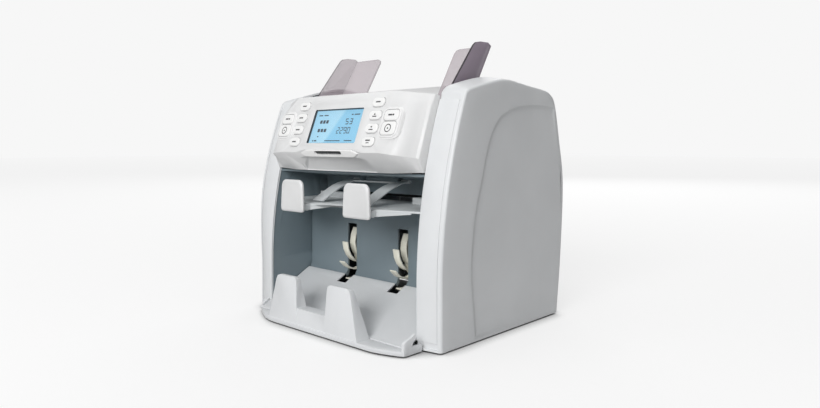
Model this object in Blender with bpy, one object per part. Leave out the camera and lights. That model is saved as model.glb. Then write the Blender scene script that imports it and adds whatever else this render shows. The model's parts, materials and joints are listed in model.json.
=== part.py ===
"""A two-pocket banknote counting machine, built as separate named parts.

Sizes are in millimetres and make() turns them into metres. X runs to the right seen from the
front, Y runs to the back and Z up. The origin is under the middle of the machine, on the table.
"""

import math

import bmesh
import bpy
from mathutils import Matrix, Vector

MM = 0.001
GAP = 0.3  # play between two parts that touch

# Casing
HALF_WIDTH = 132.5  # outer face of a side cover
HALF_OPENING = 107.5  # inner face of a side cover
WALL = 2.5
FLOOR_LEVEL = 1.5  # underside of the covers and of the tray
FRONT_Y = -83.0  # outer front edge of a side cover
FRONT_BEND_Z = 54.0  # the front edge is upright below this level
FRONT_RADIUS = 439.0  # and bends back on this radius above it
BAND_RISE = 4.3  # how far the inner edge of the front band stands before the outer edge
FLARE_OUT = 3.9  # how far the front of a cover leans out sideways, high up
FLARE_AHEAD = 4.7  # and how far its outer edge leans forward there
FLARE_LEVELS = (40.0, 150.0)  # where the flare starts and where it is full
FLARE_DEPTHS = (-40.0, 60.0)  # it is full ahead of the first and gone behind the second
EDGE_CHAMFER = 1.5
INSIDE_WIDTH = HALF_OPENING - GAP  # half width of what spans the space between the covers

# Control panel: a flat face that leans back, with a local frame u right, v up, w out
PANEL_TOP = (-77.0, 228.9)  # y, z
PANEL_BOTTOM = (-98.8, 171.6)
PANEL_LEAN = math.atan2(PANEL_TOP[0] - PANEL_BOTTOM[0], PANEL_TOP[1] - PANEL_BOTTOM[1])
PANEL_CENTRE = (
    0.0,
    (PANEL_TOP[0] + PANEL_BOTTOM[0]) / 2,
    (PANEL_TOP[1] + PANEL_BOTTOM[1]) / 2,
)
PLATEAU = 72.0  # half width of the flat middle of the panel along its top
LOW_PLATEAU = 86.0  # and below the shoulder, beside the pads
SHOULDER_V = 12.0
WING_SWEEP = 15.0  # how far the panel's ends are swept back
WING_POWER = 1.15  # how gently the sweep sets in along the top
LOW_WING_POWER = 1.5  # and below the shoulder
WING_END = 103.7  # where the round edge at each end starts
WING_ROUND = 3.0  # and how far it goes back
SCREEN_SIZE = (72.4, 36.2)
SCREEN_V = -2.9
SCREEN_DEPTH = 1.0

LIP_TOP = (-97.75, 174.35)  # the slanted lip below the screen, y, z
LIP_BOTTOM = (-94.6, 167.4)
LIP_HALF = 37.0
CHIN_HALF = 53.0
STATUS_SIZE = (39.0, 3.2)

# Keys
KEY_SIZE = (16.4, 9.2)
KEY_RADIUS = 4.2
KEY_HOLE = (17.1, 9.9)
KEY_U = 55.0
KEY_TOP_V = 19.6
KEY_PITCH = 13.15
KEY_PROUD = 1.0
KEY_BACK = -4.0
PAD_U = 77.2
PAD_SIZE = (24.0, 29.0)
PAD_V = -1.6
PAD_RADIUS = 6.5
PAD_KEYS = {"upper": (5.7, 10.6), "lower": (-7.2, 13.2)}  # v of the middle, height
PAD_KEY_WIDTH = 18.6
PAD_KEY_PROUD = 1.7

# Reject pocket
SHELF_TOP = 120.0
SHELF_THICK = 1.8
STOP_X = 48.0
STOP_PIVOT = (-97.6, 116.0)  # y, z
STOP_Z = (111.4, 143.6)
STOP_HALF = (18.4, 16.7)  # half width at the bottom and at the top
STOP_RADIUS = 6.6
STOP_FRONT = -105.2
STOP_THICK = 3.0
SHELF_LIP = [(0.0, 1.0), (14.0, 1.6), (27.0, 3.8), (33.0, 4.8), (63.0, 4.8), (72.0, 3.8), (97.0, 1.2)]
ROOF_PIVOT = (-25.0, 141.4)
PRESS_X = 36.0
PRESS_HALF = (5.0, 8.2)  # half width of an arm at the pivot and further on

# Stacker
WHEEL_AXIS = (-12.0, 58.0)
WHEEL_X = 38.0
WHEEL_RADIUS = 34.0
FINGERS = 10
HUB_RADIUS = 12.0
TRAY_FRONT = -120.3
TRAY_BACK = -88.6
TRAY_RIM_Y = -104.6  # the tray's floor is thicker ahead of this
TRAY_WALL = 2.6
TRAY_LEFT = [
    (-112.0, TRAY_BACK),
    (-112.0, -94.0),
    (-109.0, -98.5),
    (-100.0, TRAY_RIM_Y),
    (-91.0, -109.6),
    (-76.0, -116.8),
    (-66.0, -119.5),
    (-56.0, TRAY_FRONT),
]
TRAY_RIGHT = [
    (82.5, TRAY_FRONT),
    (90.5, -119.1),
    (103.5, -115.2),
    (112.9, -111.4),
    (114.8, -110.2),
    (115.5, -108.5),
    (115.5, TRAY_RIM_Y),
    (115.5, TRAY_BACK),
]
TRAY_LEFT_WALL = [  # y, z of the low wall at the left end
    (TRAY_BACK, 2.4),
    (TRAY_BACK, 11.2),
    (-93.5, 9.0),
    (-97.0, 6.4),
    (-97.6, 2.4),
]
TRAY_LEFT_CORNER = [  # x, y of what the rounded left end leaves off
    (-112.0, -94.0),
    (-109.0, -98.5),
    (-104.5, -101.55),
    (-104.5, -106.0),
    (-118.0, -106.0),
    (-118.0, -94.0),
]
TRAY_RIGHT_WALL = [
    (TRAY_BACK, 2.4),
    (TRAY_BACK, 7.4),
    (-101.0, 8.0),
    (-96.6, 18.2),
    (-98.9, 17.3),
    (-102.1, 15.5),
    (-106.5, 14.4),
    (-109.8, 13.1),
    (-111.6, 10.6),
    (-112.4, 7.6),
    (-112.6, 2.4),
]
TRAY_RIGHT_CORNER = [
    (115.5, -108.5),
    (114.8, -110.2),
    (112.9, -111.4),
    (108.2, -113.3),
    (108.2, -118.0),
    (120.0, -118.0),
    (120.0, -108.5),
]

# Hopper
HOPPER_SLOPE = math.radians(33.0)
HOPPER_EDGE = (-54.0, 212.6)  # where the panel's top wall hands over to the hopper floor
GUIDE_X = 99.0
GUIDE_INNER_X = 56.0
GUIDE_THICK = 2.4
GUIDE_FOOT = (-4.0, 217.0)  # a point on the rear face of the guides
GUIDE_LEAN = math.radians(30.6)
RAIL_AXIS = (4.3, 212.7)

# Drive, all shafts along X: (y, z), pulley radius
SHAFT_RADIUS = 3.0
PULLEY_X = (-118.0, -112.0)
BELT_X = (-117.6, -112.4)
DRIVE = {
    "motor": ((60.0, 40.0), 8.0),
    "transport": ((45.0, 150.0), 12.0),
    "feed": ((-22.0, 180.0), 10.0),
    "pickup": ((-42.4, 195.3), 8.0),
    "stacker": (WHEEL_AXIS, 14.0),
}
RETARD_AXIS = (-3.5, 187.5)
GATE_AXIS = (12.0, 112.0)

# Rear
DOOR_PIVOT = (110.6, 97.5)
DOOR_EDGE = 60.6  # y where the door meets the deck
SWITCH_AXIS = (104.6, 34.0)
SWITCH_X = -66.0


def clear_scene():
    for old in list(bpy.data.objects):
        bpy.data.objects.remove(old, do_unlink=True)


def material(name, colour, roughness, metallic=0.0):
    made = bpy.data.materials.new(name)
    made.use_nodes = True
    shader = made.node_tree.nodes["Principled BSDF"]
    shader.inputs["Base Color"].default_value = (*colour, 1.0)
    shader.inputs["Roughness"].default_value = roughness
    shader.inputs["Metallic"].default_value = metallic
    made.diffuse_color = (*colour, 1.0)
    return made


def make(name, shape, look, pivot=(0.0, 0.0, 0.0)):
    """An object of this shape in metres, with its origin on pivot."""
    bmesh.ops.remove_doubles(shape, verts=shape.verts, dist=1e-5)
    bmesh.ops.recalc_face_normals(shape, faces=shape.faces)
    bmesh.ops.transform(
        shape,
        matrix=Matrix.Scale(MM, 4) @ Matrix.Translation(-Vector(pivot)),
        verts=shape.verts,
    )
    mesh = bpy.data.meshes.new(name)
    shape.to_mesh(mesh)
    shape.free()
    mesh.shade_smooth()
    mesh.set_sharp_from_angle(angle=math.radians(30.0))
    if look:
        mesh.materials.append(look)
    made = bpy.data.objects.new(name, mesh)
    made.location = Vector(pivot) * MM
    bpy.context.scene.collection.objects.link(made)
    return made


def combine(target, operation, shape):
    """Cuts the shape from the target, or adds it, with a hidden helper object."""
    helper = make(f"{target.name}_{operation.lower()}_{len(target.modifiers)}", shape, None)
    helper.hide_render = True
    helper.display_type = "WIRE"
    step = target.modifiers.new(operation.title(), "BOOLEAN")
    step.operation = operation
    step.solver = "EXACT"
    step.object = helper


def cut(target, shape):
    combine(target, "DIFFERENCE", shape)


def add(target, shape):
    combine(target, "UNION", shape)


def loft(rings):
    """A closed body through rings of equal length, with flat ends."""
    shape = bmesh.new()
    loops = [[shape.verts.new(point) for point in ring] for ring in rings]
    count = len(rings[0])
    for one, two in zip(loops, loops[1:]):
        for i in range(count):
            j = (i + 1) % count
            shape.faces.new((one[i], one[j], two[j], two[i]))
    shape.faces.new(loops[0])
    shape.faces.new(reversed(loops[-1]))
    return shape


def prism_x(outline, x0, x1):
    """An outline of (y, z) points pulled from x0 to x1."""
    return loft([[(x, y, z) for y, z in outline] for x in (x0, x1)])


def prism_z(outline, z0, z1):
    return loft([[(x, y, z) for x, y in outline] for z in (z0, z1)])


def box(x0, x1, y0, y1, z0, z1):
    return prism_x([(y0, z0), (y1, z0), (y1, z1), (y0, z1)], x0, x1)


def join(*shapes):
    """Several separate bodies in one mesh, for a helper that cuts in more than one place."""
    whole = bmesh.new()
    for shape in shapes:
        part = bpy.data.meshes.new("part")
        shape.to_mesh(part)
        shape.free()
        whole.from_mesh(part)
        bpy.data.meshes.remove(part)
    return whole


def circle(centre, radius, segments=24):
    return [
        (
            centre[0] + radius * math.cos(2 * math.pi * i / segments),
            centre[1] + radius * math.sin(2 * math.pi * i / segments),
        )
        for i in range(segments)
    ]


def turned_x(axis, profile, segments=24):
    """A body turned round an axis along X, from (x, radius) pairs."""
    return loft([[(x, *p) for p in circle(axis, radius, segments)] for x, radius in profile])


def rounded(width, height, radius, steps=4, lower_radius=None, taper=0.0):
    """A rectangle round the origin with round corners; taper widens its lower edge."""
    low = radius if lower_radius is None else lower_radius
    outline = []
    for sx, sy, start, r in (
        (1, 1, 0, radius),
        (-1, 1, 90, radius),
        (-1, -1, 180, low),
        (1, -1, 270, low),
    ):
        for i in range(steps + 1):
            a = math.radians(start + 90 * i / steps)
            x = sx * (width / 2 - r) + r * math.cos(a)
            y = sy * (height / 2 - r) + r * math.sin(a)
            outline.append((x * (1 + taper * (0.5 - y / height)), y))
    return outline


def smooth_through(points, steps):
    """A Catmull-Rom curve through the points."""
    ends = [points[0], *points, points[-1]]
    curve = []
    for a, b, c, d in zip(ends, ends[1:], ends[2:], ends[3:]):
        a, b, c, d = Vector(a), Vector(b), Vector(c), Vector(d)
        for i in range(steps):
            t = i / steps
            curve.append(
                tuple(
                    0.5
                    * (
                        2 * b
                        + (c - a) * t
                        + (2 * a - 5 * b + 4 * c - d) * t**2
                        + (3 * b - a - 3 * c + d) * t**3
                    )
                )
            )
    return [*curve, points[-1]]


def shifted(points, distance):
    """An open line moved to its left by a distance, or by a function of (y, z)."""
    moved = []
    for i, (y, z) in enumerate(points):
        before = Vector(points[max(i - 1, 0)])
        after = Vector(points[min(i + 1, len(points) - 1)])
        along = (after - before).normalized()
        far = distance(y, z) if callable(distance) else distance
        moved.append((y - along.y * far, z + along.x * far))
    return moved


def front_line(z):
    return FRONT_Y + max(0.0, z - FRONT_BEND_Z) ** 2 / (2 * FRONT_RADIUS)


def cover_line():
    """The outer edge of a side cover, from the bottom front over the top to the bottom rear."""
    front = [(front_line(z), z) for z in (FLOOR_LEVEL, 54, 80, 106, 132, 158, 184, 206, 220)]
    over = [
        (-47.6, 226.8),
        (-37.5, 231.0),
        (-6.0, 238.7),
        (17.0, 241.3),
        (50.0, 238.2),
        (80.0, 235.4),
        (94.0, 231.5),
        (104.0, 220.5),
        (113.0, 182.0),
        (120.3, 137.0),
        (115.2, 63.0),
        (107.0, FLOOR_LEVEL),
    ]
    return front + smooth_through(over, 3)


def rim_rise(y, z):
    """How far the inner rim stands outside the outer edge: fully in front, nothing at the rear."""
    return BAND_RISE * min(1.0, max(0.0, (100.0 - y) / 80.0))


def flare(y, z):
    """The share of the flare that a point of the outer edge has."""
    low, high = FLARE_LEVELS
    ahead, behind = FLARE_DEPTHS
    up = min(1.0, max(0.0, (z - low) / (high - low)))
    near = min(1.0, max(0.0, (behind - y) / (behind - ahead)))
    return up * up * (3 - 2 * up) * near


def share_of_rim(x):
    """1 at the inner rim of a cover, 0 at its outer edge."""
    return (HALF_WIDTH - x) / (HALF_WIDTH - HALF_OPENING)


def between(x, outer, rim):
    """A line of the band between the plain outer edge, which it flares, and the inner rim."""
    share = share_of_rim(x)
    line = []
    for (y, z), (rim_y, rim_z) in zip(outer, rim):
        edge_y = y - FLARE_AHEAD * flare(y, z)
        line.append((edge_y + share * (rim_y - edge_y), z + share * (rim_z - z)))
    return line


def band(x, inset=0.0):
    """The cover's line at a distance x from the middle plane, less an inset."""
    line = cover_line()
    return shifted(between(x, line, shifted(line, rim_rise)), -inset)


def raised(points, lowest):
    return [(y, max(z, lowest)) for y, z in points]


def on_side(side, x, line):
    return [(side * x, y, z) for y, z in line]


def on_cover(side, x, line):
    """The points of a line of the band, moved out sideways by the flare."""
    out = (1 - share_of_rim(x)) * FLARE_OUT
    return [(side * (x + out * flare(y, z)), y, z) for y, z in line]


def side_cover(side, name, look):
    edge = HALF_WIDTH - EDGE_CHAMFER
    cover = make(
        name,
        loft(
            [
                on_cover(side, HALF_OPENING, band(HALF_OPENING)),
                on_cover(side, edge, band(edge)),
                on_cover(side, HALF_WIDTH, band(HALF_WIDTH, EDGE_CHAMFER)),
            ]
        ),
        look,
    )
    hollow = HALF_WIDTH - WALL
    cut(
        cover,
        loft(
            [
                on_cover(side, x, raised(band(x, WALL), FLOOR_LEVEL + WALL))
                for x in (HALF_OPENING - 2, hollow)
            ]
        ),
    )
    cut(cover, trim_shape(side, HALF_OPENING - 2, 128.5, (3.4, 224.4), 3.0, 1.5))
    return cover


def trim_shape(side, x0, x1, levels, proud, sunk):
    """A strip that follows the front band from proud of its face to sunk below it."""
    low, high = levels
    steps = 16
    edge = [(front_line(z), z) for z in (low + (high - low) * i / steps for i in range(steps + 1))]
    rim = [(y, z) for (y, _), (_, z) in zip(shifted(edge, BAND_RISE), edge)]
    rings = []
    for x in (x0, (x0 + x1) / 2, x1):
        line = between(x, edge, rim)
        outer = [(y, z) for (y, _), (_, z) in zip(shifted(line, proud), line)]
        inner = [(y, z) for (y, _), (_, z) in zip(shifted(line, -sunk), line)]
        rings.append(on_cover(side, x, outer + inner[::-1]))
    return loft(rings)


def front_trim(side, name, look):
    return make(name, trim_shape(side, HALF_OPENING, 127.9, (3.8, 224.0), 0.0, 1.1), look)


def side_frame(side, name, look):
    line = raised(band(HALF_OPENING, WALL + 0.6), FLOOR_LEVEL + WALL + 0.5)
    plate = make(
        name,
        loft([on_side(side, x, line) for x in (HALF_OPENING + 0.4, HALF_OPENING + 2.4)]),
        look,
    )
    if side < 0:
        holes = [
            turned_x(axis, [(-HALF_OPENING - 4, 4.0), (-HALF_OPENING + 2, 4.0)], 16)
            for axis, _ in DRIVE.values()
        ]
        cut(plate, join(*holes))
    return plate


def base_pan(look):
    return make("base_pan", box(-INSIDE_WIDTH, INSIDE_WIDTH, -86, 103, 3.3, 5.3), look)


def foot(name, x, y, look):
    shape = loft(
        [
            [(*p, z) for p in circle((x, y), r, 20)]
            for z, r in ((0.0, 7.0), (0.8, 8.0), (3.0, 8.0))
        ]
    )
    return make(name, shape, look)


def finger(side, rear_foot=-102.9):
    """A tapered upright that the counted notes lean against."""
    inner, outer = (20.0, 23.6), (66.5, 54.4)
    low, high = 2.0, 49.6
    rings = []
    for z, a, b, front, rear in (
        (low, inner[0], outer[0], -119.4, rear_foot),
        (high - 5, inner[1] - 0.4, outer[1] + 1.2, -117.6, -111.6),
        (high - 1.3, inner[1] + 0.6, outer[1] - 0.8, -117.4, -112.2),
        (high, inner[1] + 3.4, outer[1] - 4.2, -116.6, -113.0),
    ):
        rings.append([(side * x, y, z) for x, y in ((a, front), (b, front), (b, rear), (a, rear))])
    return loft(rings)


def front_tray(look):
    """The tray: straight in front, with a long rounded left end and a short right corner."""
    tray = make("front_tray", prism_z(TRAY_LEFT + TRAY_RIGHT, FLOOR_LEVEL, 3.4), look)
    rim = [p for p in TRAY_LEFT + TRAY_RIGHT if p[1] <= TRAY_RIM_Y]
    add(tray, prism_z(rim, 2.4, 5.4))
    notch = [(-119.3, 2.0), (-103.0, 2.0), (-104.6, 20.0), (-106.0, 20.6), (-118.2, 20.6)]
    add(tray, prism_x(notch, -22.0, 22.0))
    for side in (-1, 1):
        add(tray, finger(side))
    for outline, wall, corner in (
        (TRAY_LEFT, TRAY_LEFT_WALL, TRAY_LEFT_CORNER),
        (TRAY_RIGHT, TRAY_RIGHT_WALL, TRAY_RIGHT_CORNER),
    ):
        face = max(outline, key=lambda p: abs(p[0]))[0]
        add(tray, prism_x(wall, face - math.copysign(TRAY_WALL, face), face))
        cut(tray, prism_z(corner, 0.0, 30.0))
    return tray


def stacker_floor(look):
    outline = [
        (-102.5, 5.7),
        (-96.0, 6.3),
        (-42.0, 36.5),
        (-35.6, 39.8),
        (-35.4, 37.6),
        (-41.0, 34.5),
        (-84.0, 10.4),
        (-95.2, 4.2),
        (-102.5, 3.8),
    ]
    chute = make("stacker_floor", prism_x(outline, -INSIDE_WIDTH, INSIDE_WIDTH), look)
    slots = [box(x - 7, x + 7, -47.5, -20, 25, 60) for x in (-WHEEL_X, WHEEL_X)]
    cut(chute, join(*slots))
    return chute


def stacker_back_plate(look):
    outline = [
        (-34.5, 38.5),
        (-31.5, 36.0),
        (-29.0, 40.0),
        (-29.0, 114.0),
        (-31.4, 114.0),
        (-31.4, 44.0),
    ]
    plate = make("stacker_back_plate", prism_x(outline, -INSIDE_WIDTH, INSIDE_WIDTH), look)
    slots = [box(x - 7, x + 7, -40, -20, 30, 94) for x in (-WHEEL_X, WHEEL_X)]
    cut(plate, join(*slots))
    return plate


def panel_matrix():
    """From the panel's own frame (u right, v up, w out) to the machine's."""
    lean = Matrix.Rotation(math.pi / 2 - PANEL_LEAN, 4, "X")
    return Matrix.Translation(Vector(PANEL_CENTRE)) @ lean


def shrunk(outline, by):
    """An outline round the origin pulled in on all sides."""
    return [(a - math.copysign(by, a), b - math.copysign(by, b)) for a, b in outline]


def on_panel(shape):
    bmesh.ops.transform(shape, matrix=panel_matrix(), verts=shape.verts)
    return shape


def on_lip(shape):
    """Moves a shape from the frame of the slanted lip, its middle as the origin."""
    across, drop = LIP_BOTTOM[0] - LIP_TOP[0], LIP_TOP[1] - LIP_BOTTOM[1]
    middle = Vector((0.0, LIP_TOP[0] + 0.4 * across, LIP_TOP[1] - 0.4 * drop))
    turn_back = Matrix.Rotation(math.atan2(drop, -across), 4, "X")
    bmesh.ops.transform(shape, matrix=Matrix.Translation(middle) @ turn_back, verts=shape.verts)
    return shape


def panel_point(u, v, w=0.0):
    return tuple(panel_matrix() @ Vector((u, v, w)))


def moved(outline, u, v):
    return [(u + a, v + b) for a, b in outline]


def swept(x, start, power):
    """How far the panel's face is swept back at x, from a plateau that ends at start."""
    share = min(1.0, max(0.0, (abs(x) - start) / (WING_END - start)))
    late = max(0.0, abs(x) - WING_END) / (INSIDE_WIDTH - WING_END)
    return WING_SWEEP * share**power + WING_ROUND * (1 - math.sqrt(1 - late * late))


def hood_ring(x):
    """The control panel's closed section at x, and its four outer corners swept back."""
    out = min(1.0, max(0.0, (abs(x) - PLATEAU) / (INSIDE_WIDTH - PLATEAU)))
    top = (PANEL_TOP[0] + swept(x, PLATEAU, WING_POWER), PANEL_TOP[1] - 4.2 * out)
    below = swept(x, LOW_PLATEAU, LOW_WING_POWER)
    _, y, z = panel_point(0.0, SHOULDER_V)
    shoulder = (y + below, z)
    bottom = (PANEL_BOTTOM[0] + below, PANEL_BOTTOM[1] - 5.0 * out**1.5)
    chin = (-81.0 + 4.0 * out, 152.8 + 1.5 * out)
    return [
        HOPPER_EDGE,
        (top[0] + 4.0, top[1] - 1.2),
        top,
        shoulder,
        bottom,
        chin,
        (-74.5, 152.8 + 1.5 * out),
    ]


def hollow_ring(x):
    """The inside of the control panel at x, open to the rear."""
    edge, _, top, _, bottom, chin, back = hood_ring(x)
    return [
        (edge[0] + 8.0, edge[1] - 7.8),
        (edge[0] - 1.4, edge[1] - 2.2),
        (top[0] + 0.8, top[1] - 5.0),
        (bottom[0] + 4.6, bottom[1] + 5.6),
        (chin[0] + 3.5, chin[1] + 4.2),
        (back[0] + 20.0, back[1] + 4.2),
    ]


def bezel_outline(grow=0.0):
    return rounded(PAD_SIZE[0] + 2 * grow, PAD_SIZE[1] + 2 * grow, PAD_RADIUS + grow, 5)


def control_panel(look):
    stations = [0, PLATEAU, LOW_PLATEAU, 90, 94, 99]
    ends = [WING_END, WING_END + 1.8, WING_END + 2.9, INSIDE_WIDTH]
    xs = sorted({side * x for x in (*stations, *ends) for side in (-1, 1)})
    panel = make("control_panel", loft([[(x, *p) for p in hood_ring(x)] for x in xs]), look)
    xs = sorted({side * x for x in (*stations, INSIDE_WIDTH - WALL) for side in (-1, 1)})
    cut(panel, loft([[(x, *p) for p in hollow_ring(x)] for x in xs]))
    holes = [
        on_panel(prism_z(moved(rounded(*KEY_HOLE, KEY_RADIUS + 0.3), u, v), -9, 6))
        for _, u, v in small_keys()
    ]
    for side in (-1, 1):
        outline = moved(bezel_outline(GAP), side * PAD_U, PAD_V)
        holes.append(on_panel(prism_z(outline, -9, 6)))
    width, height = SCREEN_SIZE
    screen = moved(rounded(width, height, 1.2, 2), 0.0, SCREEN_V)
    holes.append(on_panel(prism_z(screen, -9, 6)))
    cut(panel, join(*holes))
    cut(panel, chin_recess())
    pill = rounded(STATUS_SIZE[0] + 0.7, STATUS_SIZE[1] + 0.7, STATUS_SIZE[1] / 2, 3)
    cut(panel, on_lip(prism_z(pill, -1.6, 3.0)))
    return panel


def small_keys():
    """(name, u, v) of the eight small keys, from the top down on each side of the screen."""
    return [
        (f"{word}_key_{row + 1}", side * KEY_U, KEY_TOP_V - row * KEY_PITCH)
        for word, side in (("left", -1), ("right", 1))
        for row in range(4)
    ]


def capped(outline, u, v, back, face, round_over):
    """A key: straight sides with a chamfered front edge, on the panel's frame."""
    rings = []
    for w, shrink in ((back, 0.0), (face - round_over, 0.0), (face, round_over)):
        rings.append([(u + a, v + b, w) for a, b in shrunk(outline, shrink)])
    return on_panel(loft(rings))


def keys(look):
    for name, u, v in small_keys():
        shape = capped(rounded(*KEY_SIZE, KEY_RADIUS), u, v, KEY_BACK, KEY_PROUD, 0.5)
        make(name, shape, look, panel_point(u, v))
    for word, side in (("left", -1), ("right", 1)):
        for place, (v, height) in PAD_KEYS.items():
            u = side * PAD_U
            shape = capped(rounded(PAD_KEY_WIDTH, height, 3.6), u, v, KEY_BACK, PAD_KEY_PROUD, 0.6)
            make(f"{word}_pad_{place}_key", shape, look, panel_point(u, v))


def key_bezel(side, name, look):
    u = side * PAD_U
    outline = bezel_outline()
    rings = [
        [(u + a, PAD_V + b, w) for a, b in shrunk(outline, shrink)]
        for w, shrink in ((-4.4, 0.0), (0.4, 0.0), (1.2, 0.8))
    ]
    bezel = make(name, on_panel(loft(rings)), look)
    holes = [
        on_panel(prism_z(moved(rounded(PAD_KEY_WIDTH + 0.7, height + 0.7, 3.9), u, v), -6, 4))
        for v, height in PAD_KEYS.values()
    ]
    cut(bezel, join(*holes))
    return bezel


def display(window_look, module_look):
    width, height = SCREEN_SIZE
    pane = moved(rounded(width - 2 * GAP, height - 2 * GAP, 0.9, 2), 0.0, SCREEN_V)
    make("display_window", on_panel(prism_z(pane, -SCREEN_DEPTH - 1.2, -SCREEN_DEPTH)), window_look)
    module = moved(rounded(width + 4, height + 3, 0.8, 1), 0.0, SCREEN_V)
    make("lcd_module", on_panel(prism_z(module, -6.6, -WALL - 0.4)), module_look)


def keypad_board(look):
    outline = moved(rounded(168, 41, 2.0, 2), 0.0, -1.0)
    return make("keypad_board", on_panel(prism_z(outline, -11.0, -9.4)), look)


def chin_recess():
    """What is taken out under the screen: a slanted lip and a hollow chin behind it."""
    deep = [LIP_TOP, LIP_BOTTOM, (LIP_BOTTOM[0] + 3.4, LIP_BOTTOM[1] + 0.2), (-79.5, 153.4)]
    flush = [(-99.6, 171.6), (-93.4, 164.8), (-92.4, 163.7), (-79.5, 153.4)]
    outside = [(-88.0, 146.0), (-112.0, 166.0)]
    rings = []
    for x, line, brow in (
        (-CHIN_HALF, flush, (-112.0, 171.6)),
        (-LIP_HALF, deep, (-112.0, LIP_TOP[1])),
        (LIP_HALF, deep, (-112.0, LIP_TOP[1])),
        (CHIN_HALF, flush, (-112.0, 171.6)),
    ):
        rings.append([(x, *p) for p in (*line, *outside, brow)])
    return loft(rings)


def status_window(look):
    pill = rounded(STATUS_SIZE[0], STATUS_SIZE[1], STATUS_SIZE[1] / 2 - 0.1, 3)
    return make("status_window", on_lip(prism_z(pill, -1.2, -0.3)), look)


def shelf_edge():
    """The reject shelf's front edge from above, from left to right: it comes forward at the stops."""
    front = [
        (0.0, -81.0),
        (14.0, -82.5),
        (27.0, -91.5),
        (33.0, -93.4),
        (63.0, -93.4),
        (72.0, -91.0),
        (INSIDE_WIDTH, -80.0),
    ]
    left = [(-x, y) for x, y in reversed(front[1:-1])]
    corner = (-INSIDE_WIDTH, -70.0)  # the left corner is cut back further
    return [corner, *left, *front]


def shelf_lip():
    """The wall under the shelf's front edge, deepest beside the stops."""
    edge = shelf_edge()
    rings = []
    for x, drop in [(-x, drop) for x, drop in reversed(SHELF_LIP[1:])] + SHELF_LIP:
        i = max(k for k, (a, _) in enumerate(edge[:-1]) if a <= x)
        (x0, y0), (x1, y1) = edge[i], edge[i + 1]
        y = y0 + (y1 - y0) * (x - x0) / (x1 - x0) + 0.1
        low = SHELF_TOP - SHELF_THICK - drop
        rings.append([(x, y, low), (x, y, SHELF_TOP - 0.4), (x, y + 1.6, SHELF_TOP - 0.4), (x, y + 1.6, low)])
    return loft(rings)


def reject_shelf(look):
    outline = [*shelf_edge(), (INSIDE_WIDTH, -9.0), (-INSIDE_WIDTH, -9.0)]
    shelf = make("reject_shelf", prism_z(outline, SHELF_TOP - SHELF_THICK, SHELF_TOP), look)
    add(shelf, shelf_lip())
    y, z = STOP_PIVOT
    ear = [
        (-90.0, z + 3.2),
        (-90.0, z - 1.0),
        (y + 1.0, z - 3.2),
        (y - 2.4, z - 2.4),
        (y - 2.6, z + 2.0),
        (y, z + 3.2),
    ]
    for x in (-STOP_X, STOP_X):
        for a, b in ((-15.6, -11.4), (11.4, 15.6)):
            add(shelf, prism_x(ear, x + a, x + b))
    add(shelf, box(46, 98, -26, -14, SHELF_TOP - 0.5, SHELF_TOP + 6))
    add(shelf, box(-98, -46, -26, -14, SHELF_TOP - 0.5, SHELF_TOP + 6))
    return shelf


def reject_stop(side, name, look):
    """A rounded stopper on a hinge barrel at the shelf's front edge."""
    low, high = STOP_Z
    height = high - low
    lower, upper = STOP_HALF
    plate = rounded(2 * upper, height, STOP_RADIUS, 5, 3.2, (lower - upper) / upper)
    middle = (low + high) / 2
    rings = []
    for y, shrink in ((STOP_FRONT, 1.5), (STOP_FRONT + 1.2, 0.0), (STOP_FRONT + STOP_THICK, 0.0)):
        rings.append([(side * STOP_X + a, y, middle + b) for a, b in shrunk(plate, shrink)])
    stop = make(name, loft(rings), look, (side * STOP_X, *STOP_PIVOT))
    y, z = STOP_PIVOT
    add(stop, turned_x((y, z), [(side * STOP_X - 11, 2.2), (side * STOP_X + 11, 2.2)], 16))
    add(stop, box(side * STOP_X - 10, side * STOP_X + 10, -102.5, y, z - 1.6, z + 1.6))
    return stop


def pocket_roof(look):
    outline = [
        (-73.8, 152.6),
        (-60.0, 151.0),
        (-12.0, 146.2),
        (-7.0, 144.0),
        (-6.0, 127.0),
        (-8.2, 127.0),
        (-9.2, 142.6),
        (-13.0, 144.0),
        (-60.0, 148.7),
        (-73.8, 150.2),
    ]
    roof = make("pocket_roof", prism_x(outline, -INSIDE_WIDTH, INSIDE_WIDTH), look)
    y, z = ROOF_PIVOT
    lug = [(y - 5, z + 6), (y - 2.6, z - 2.8), (y + 2.6, z - 2.8), (y + 5, z + 6)]
    for side in (-1, 1):
        x = side * (PRESS_X - 8.5)
        add(roof, prism_x(lug, x - 1.4, x + 1.4))
    return roof


def press_arm(x):
    """An arched strip from the pivot down to the shelf, narrower at the pivot."""
    line = smooth_through([ROOF_PIVOT, (-38.0, 140.3), (-53.0, 136.0), (-67.0, 129.2), (-80.0, 121.8)], 3)
    upper = shifted(line, 0.6)
    lower = shifted(line, -0.6)
    rings = []
    for i, (over, under) in enumerate(zip(upper, lower)):
        half = PRESS_HALF[0] + (PRESS_HALF[1] - PRESS_HALF[0]) * min(1.0, i / 5)
        rings.append([(x + a, *p) for a, p in ((-half, over), (half, over), (half, under), (-half, under))])
    return loft(rings)


def press_guide(look):
    """Two arched arms on a cross bar, hung from the roof, that hold rejected notes down."""
    y, z = ROOF_PIVOT
    guide = make("reject_press_guide", press_arm(PRESS_X), look, (0.0, y, z))
    add(guide, press_arm(-PRESS_X))
    add(guide, box(-PRESS_X, PRESS_X, -37.0, -32.0, 139.9, 141.3))
    barrel = [(PRESS_X - 5.5, 1.9), (PRESS_X + 5.5, 1.9)]
    add(guide, turned_x(ROOF_PIVOT, barrel, 12))
    add(guide, turned_x(ROOF_PIVOT, [(-x, r) for x, r in barrel], 12))
    return guide


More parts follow.
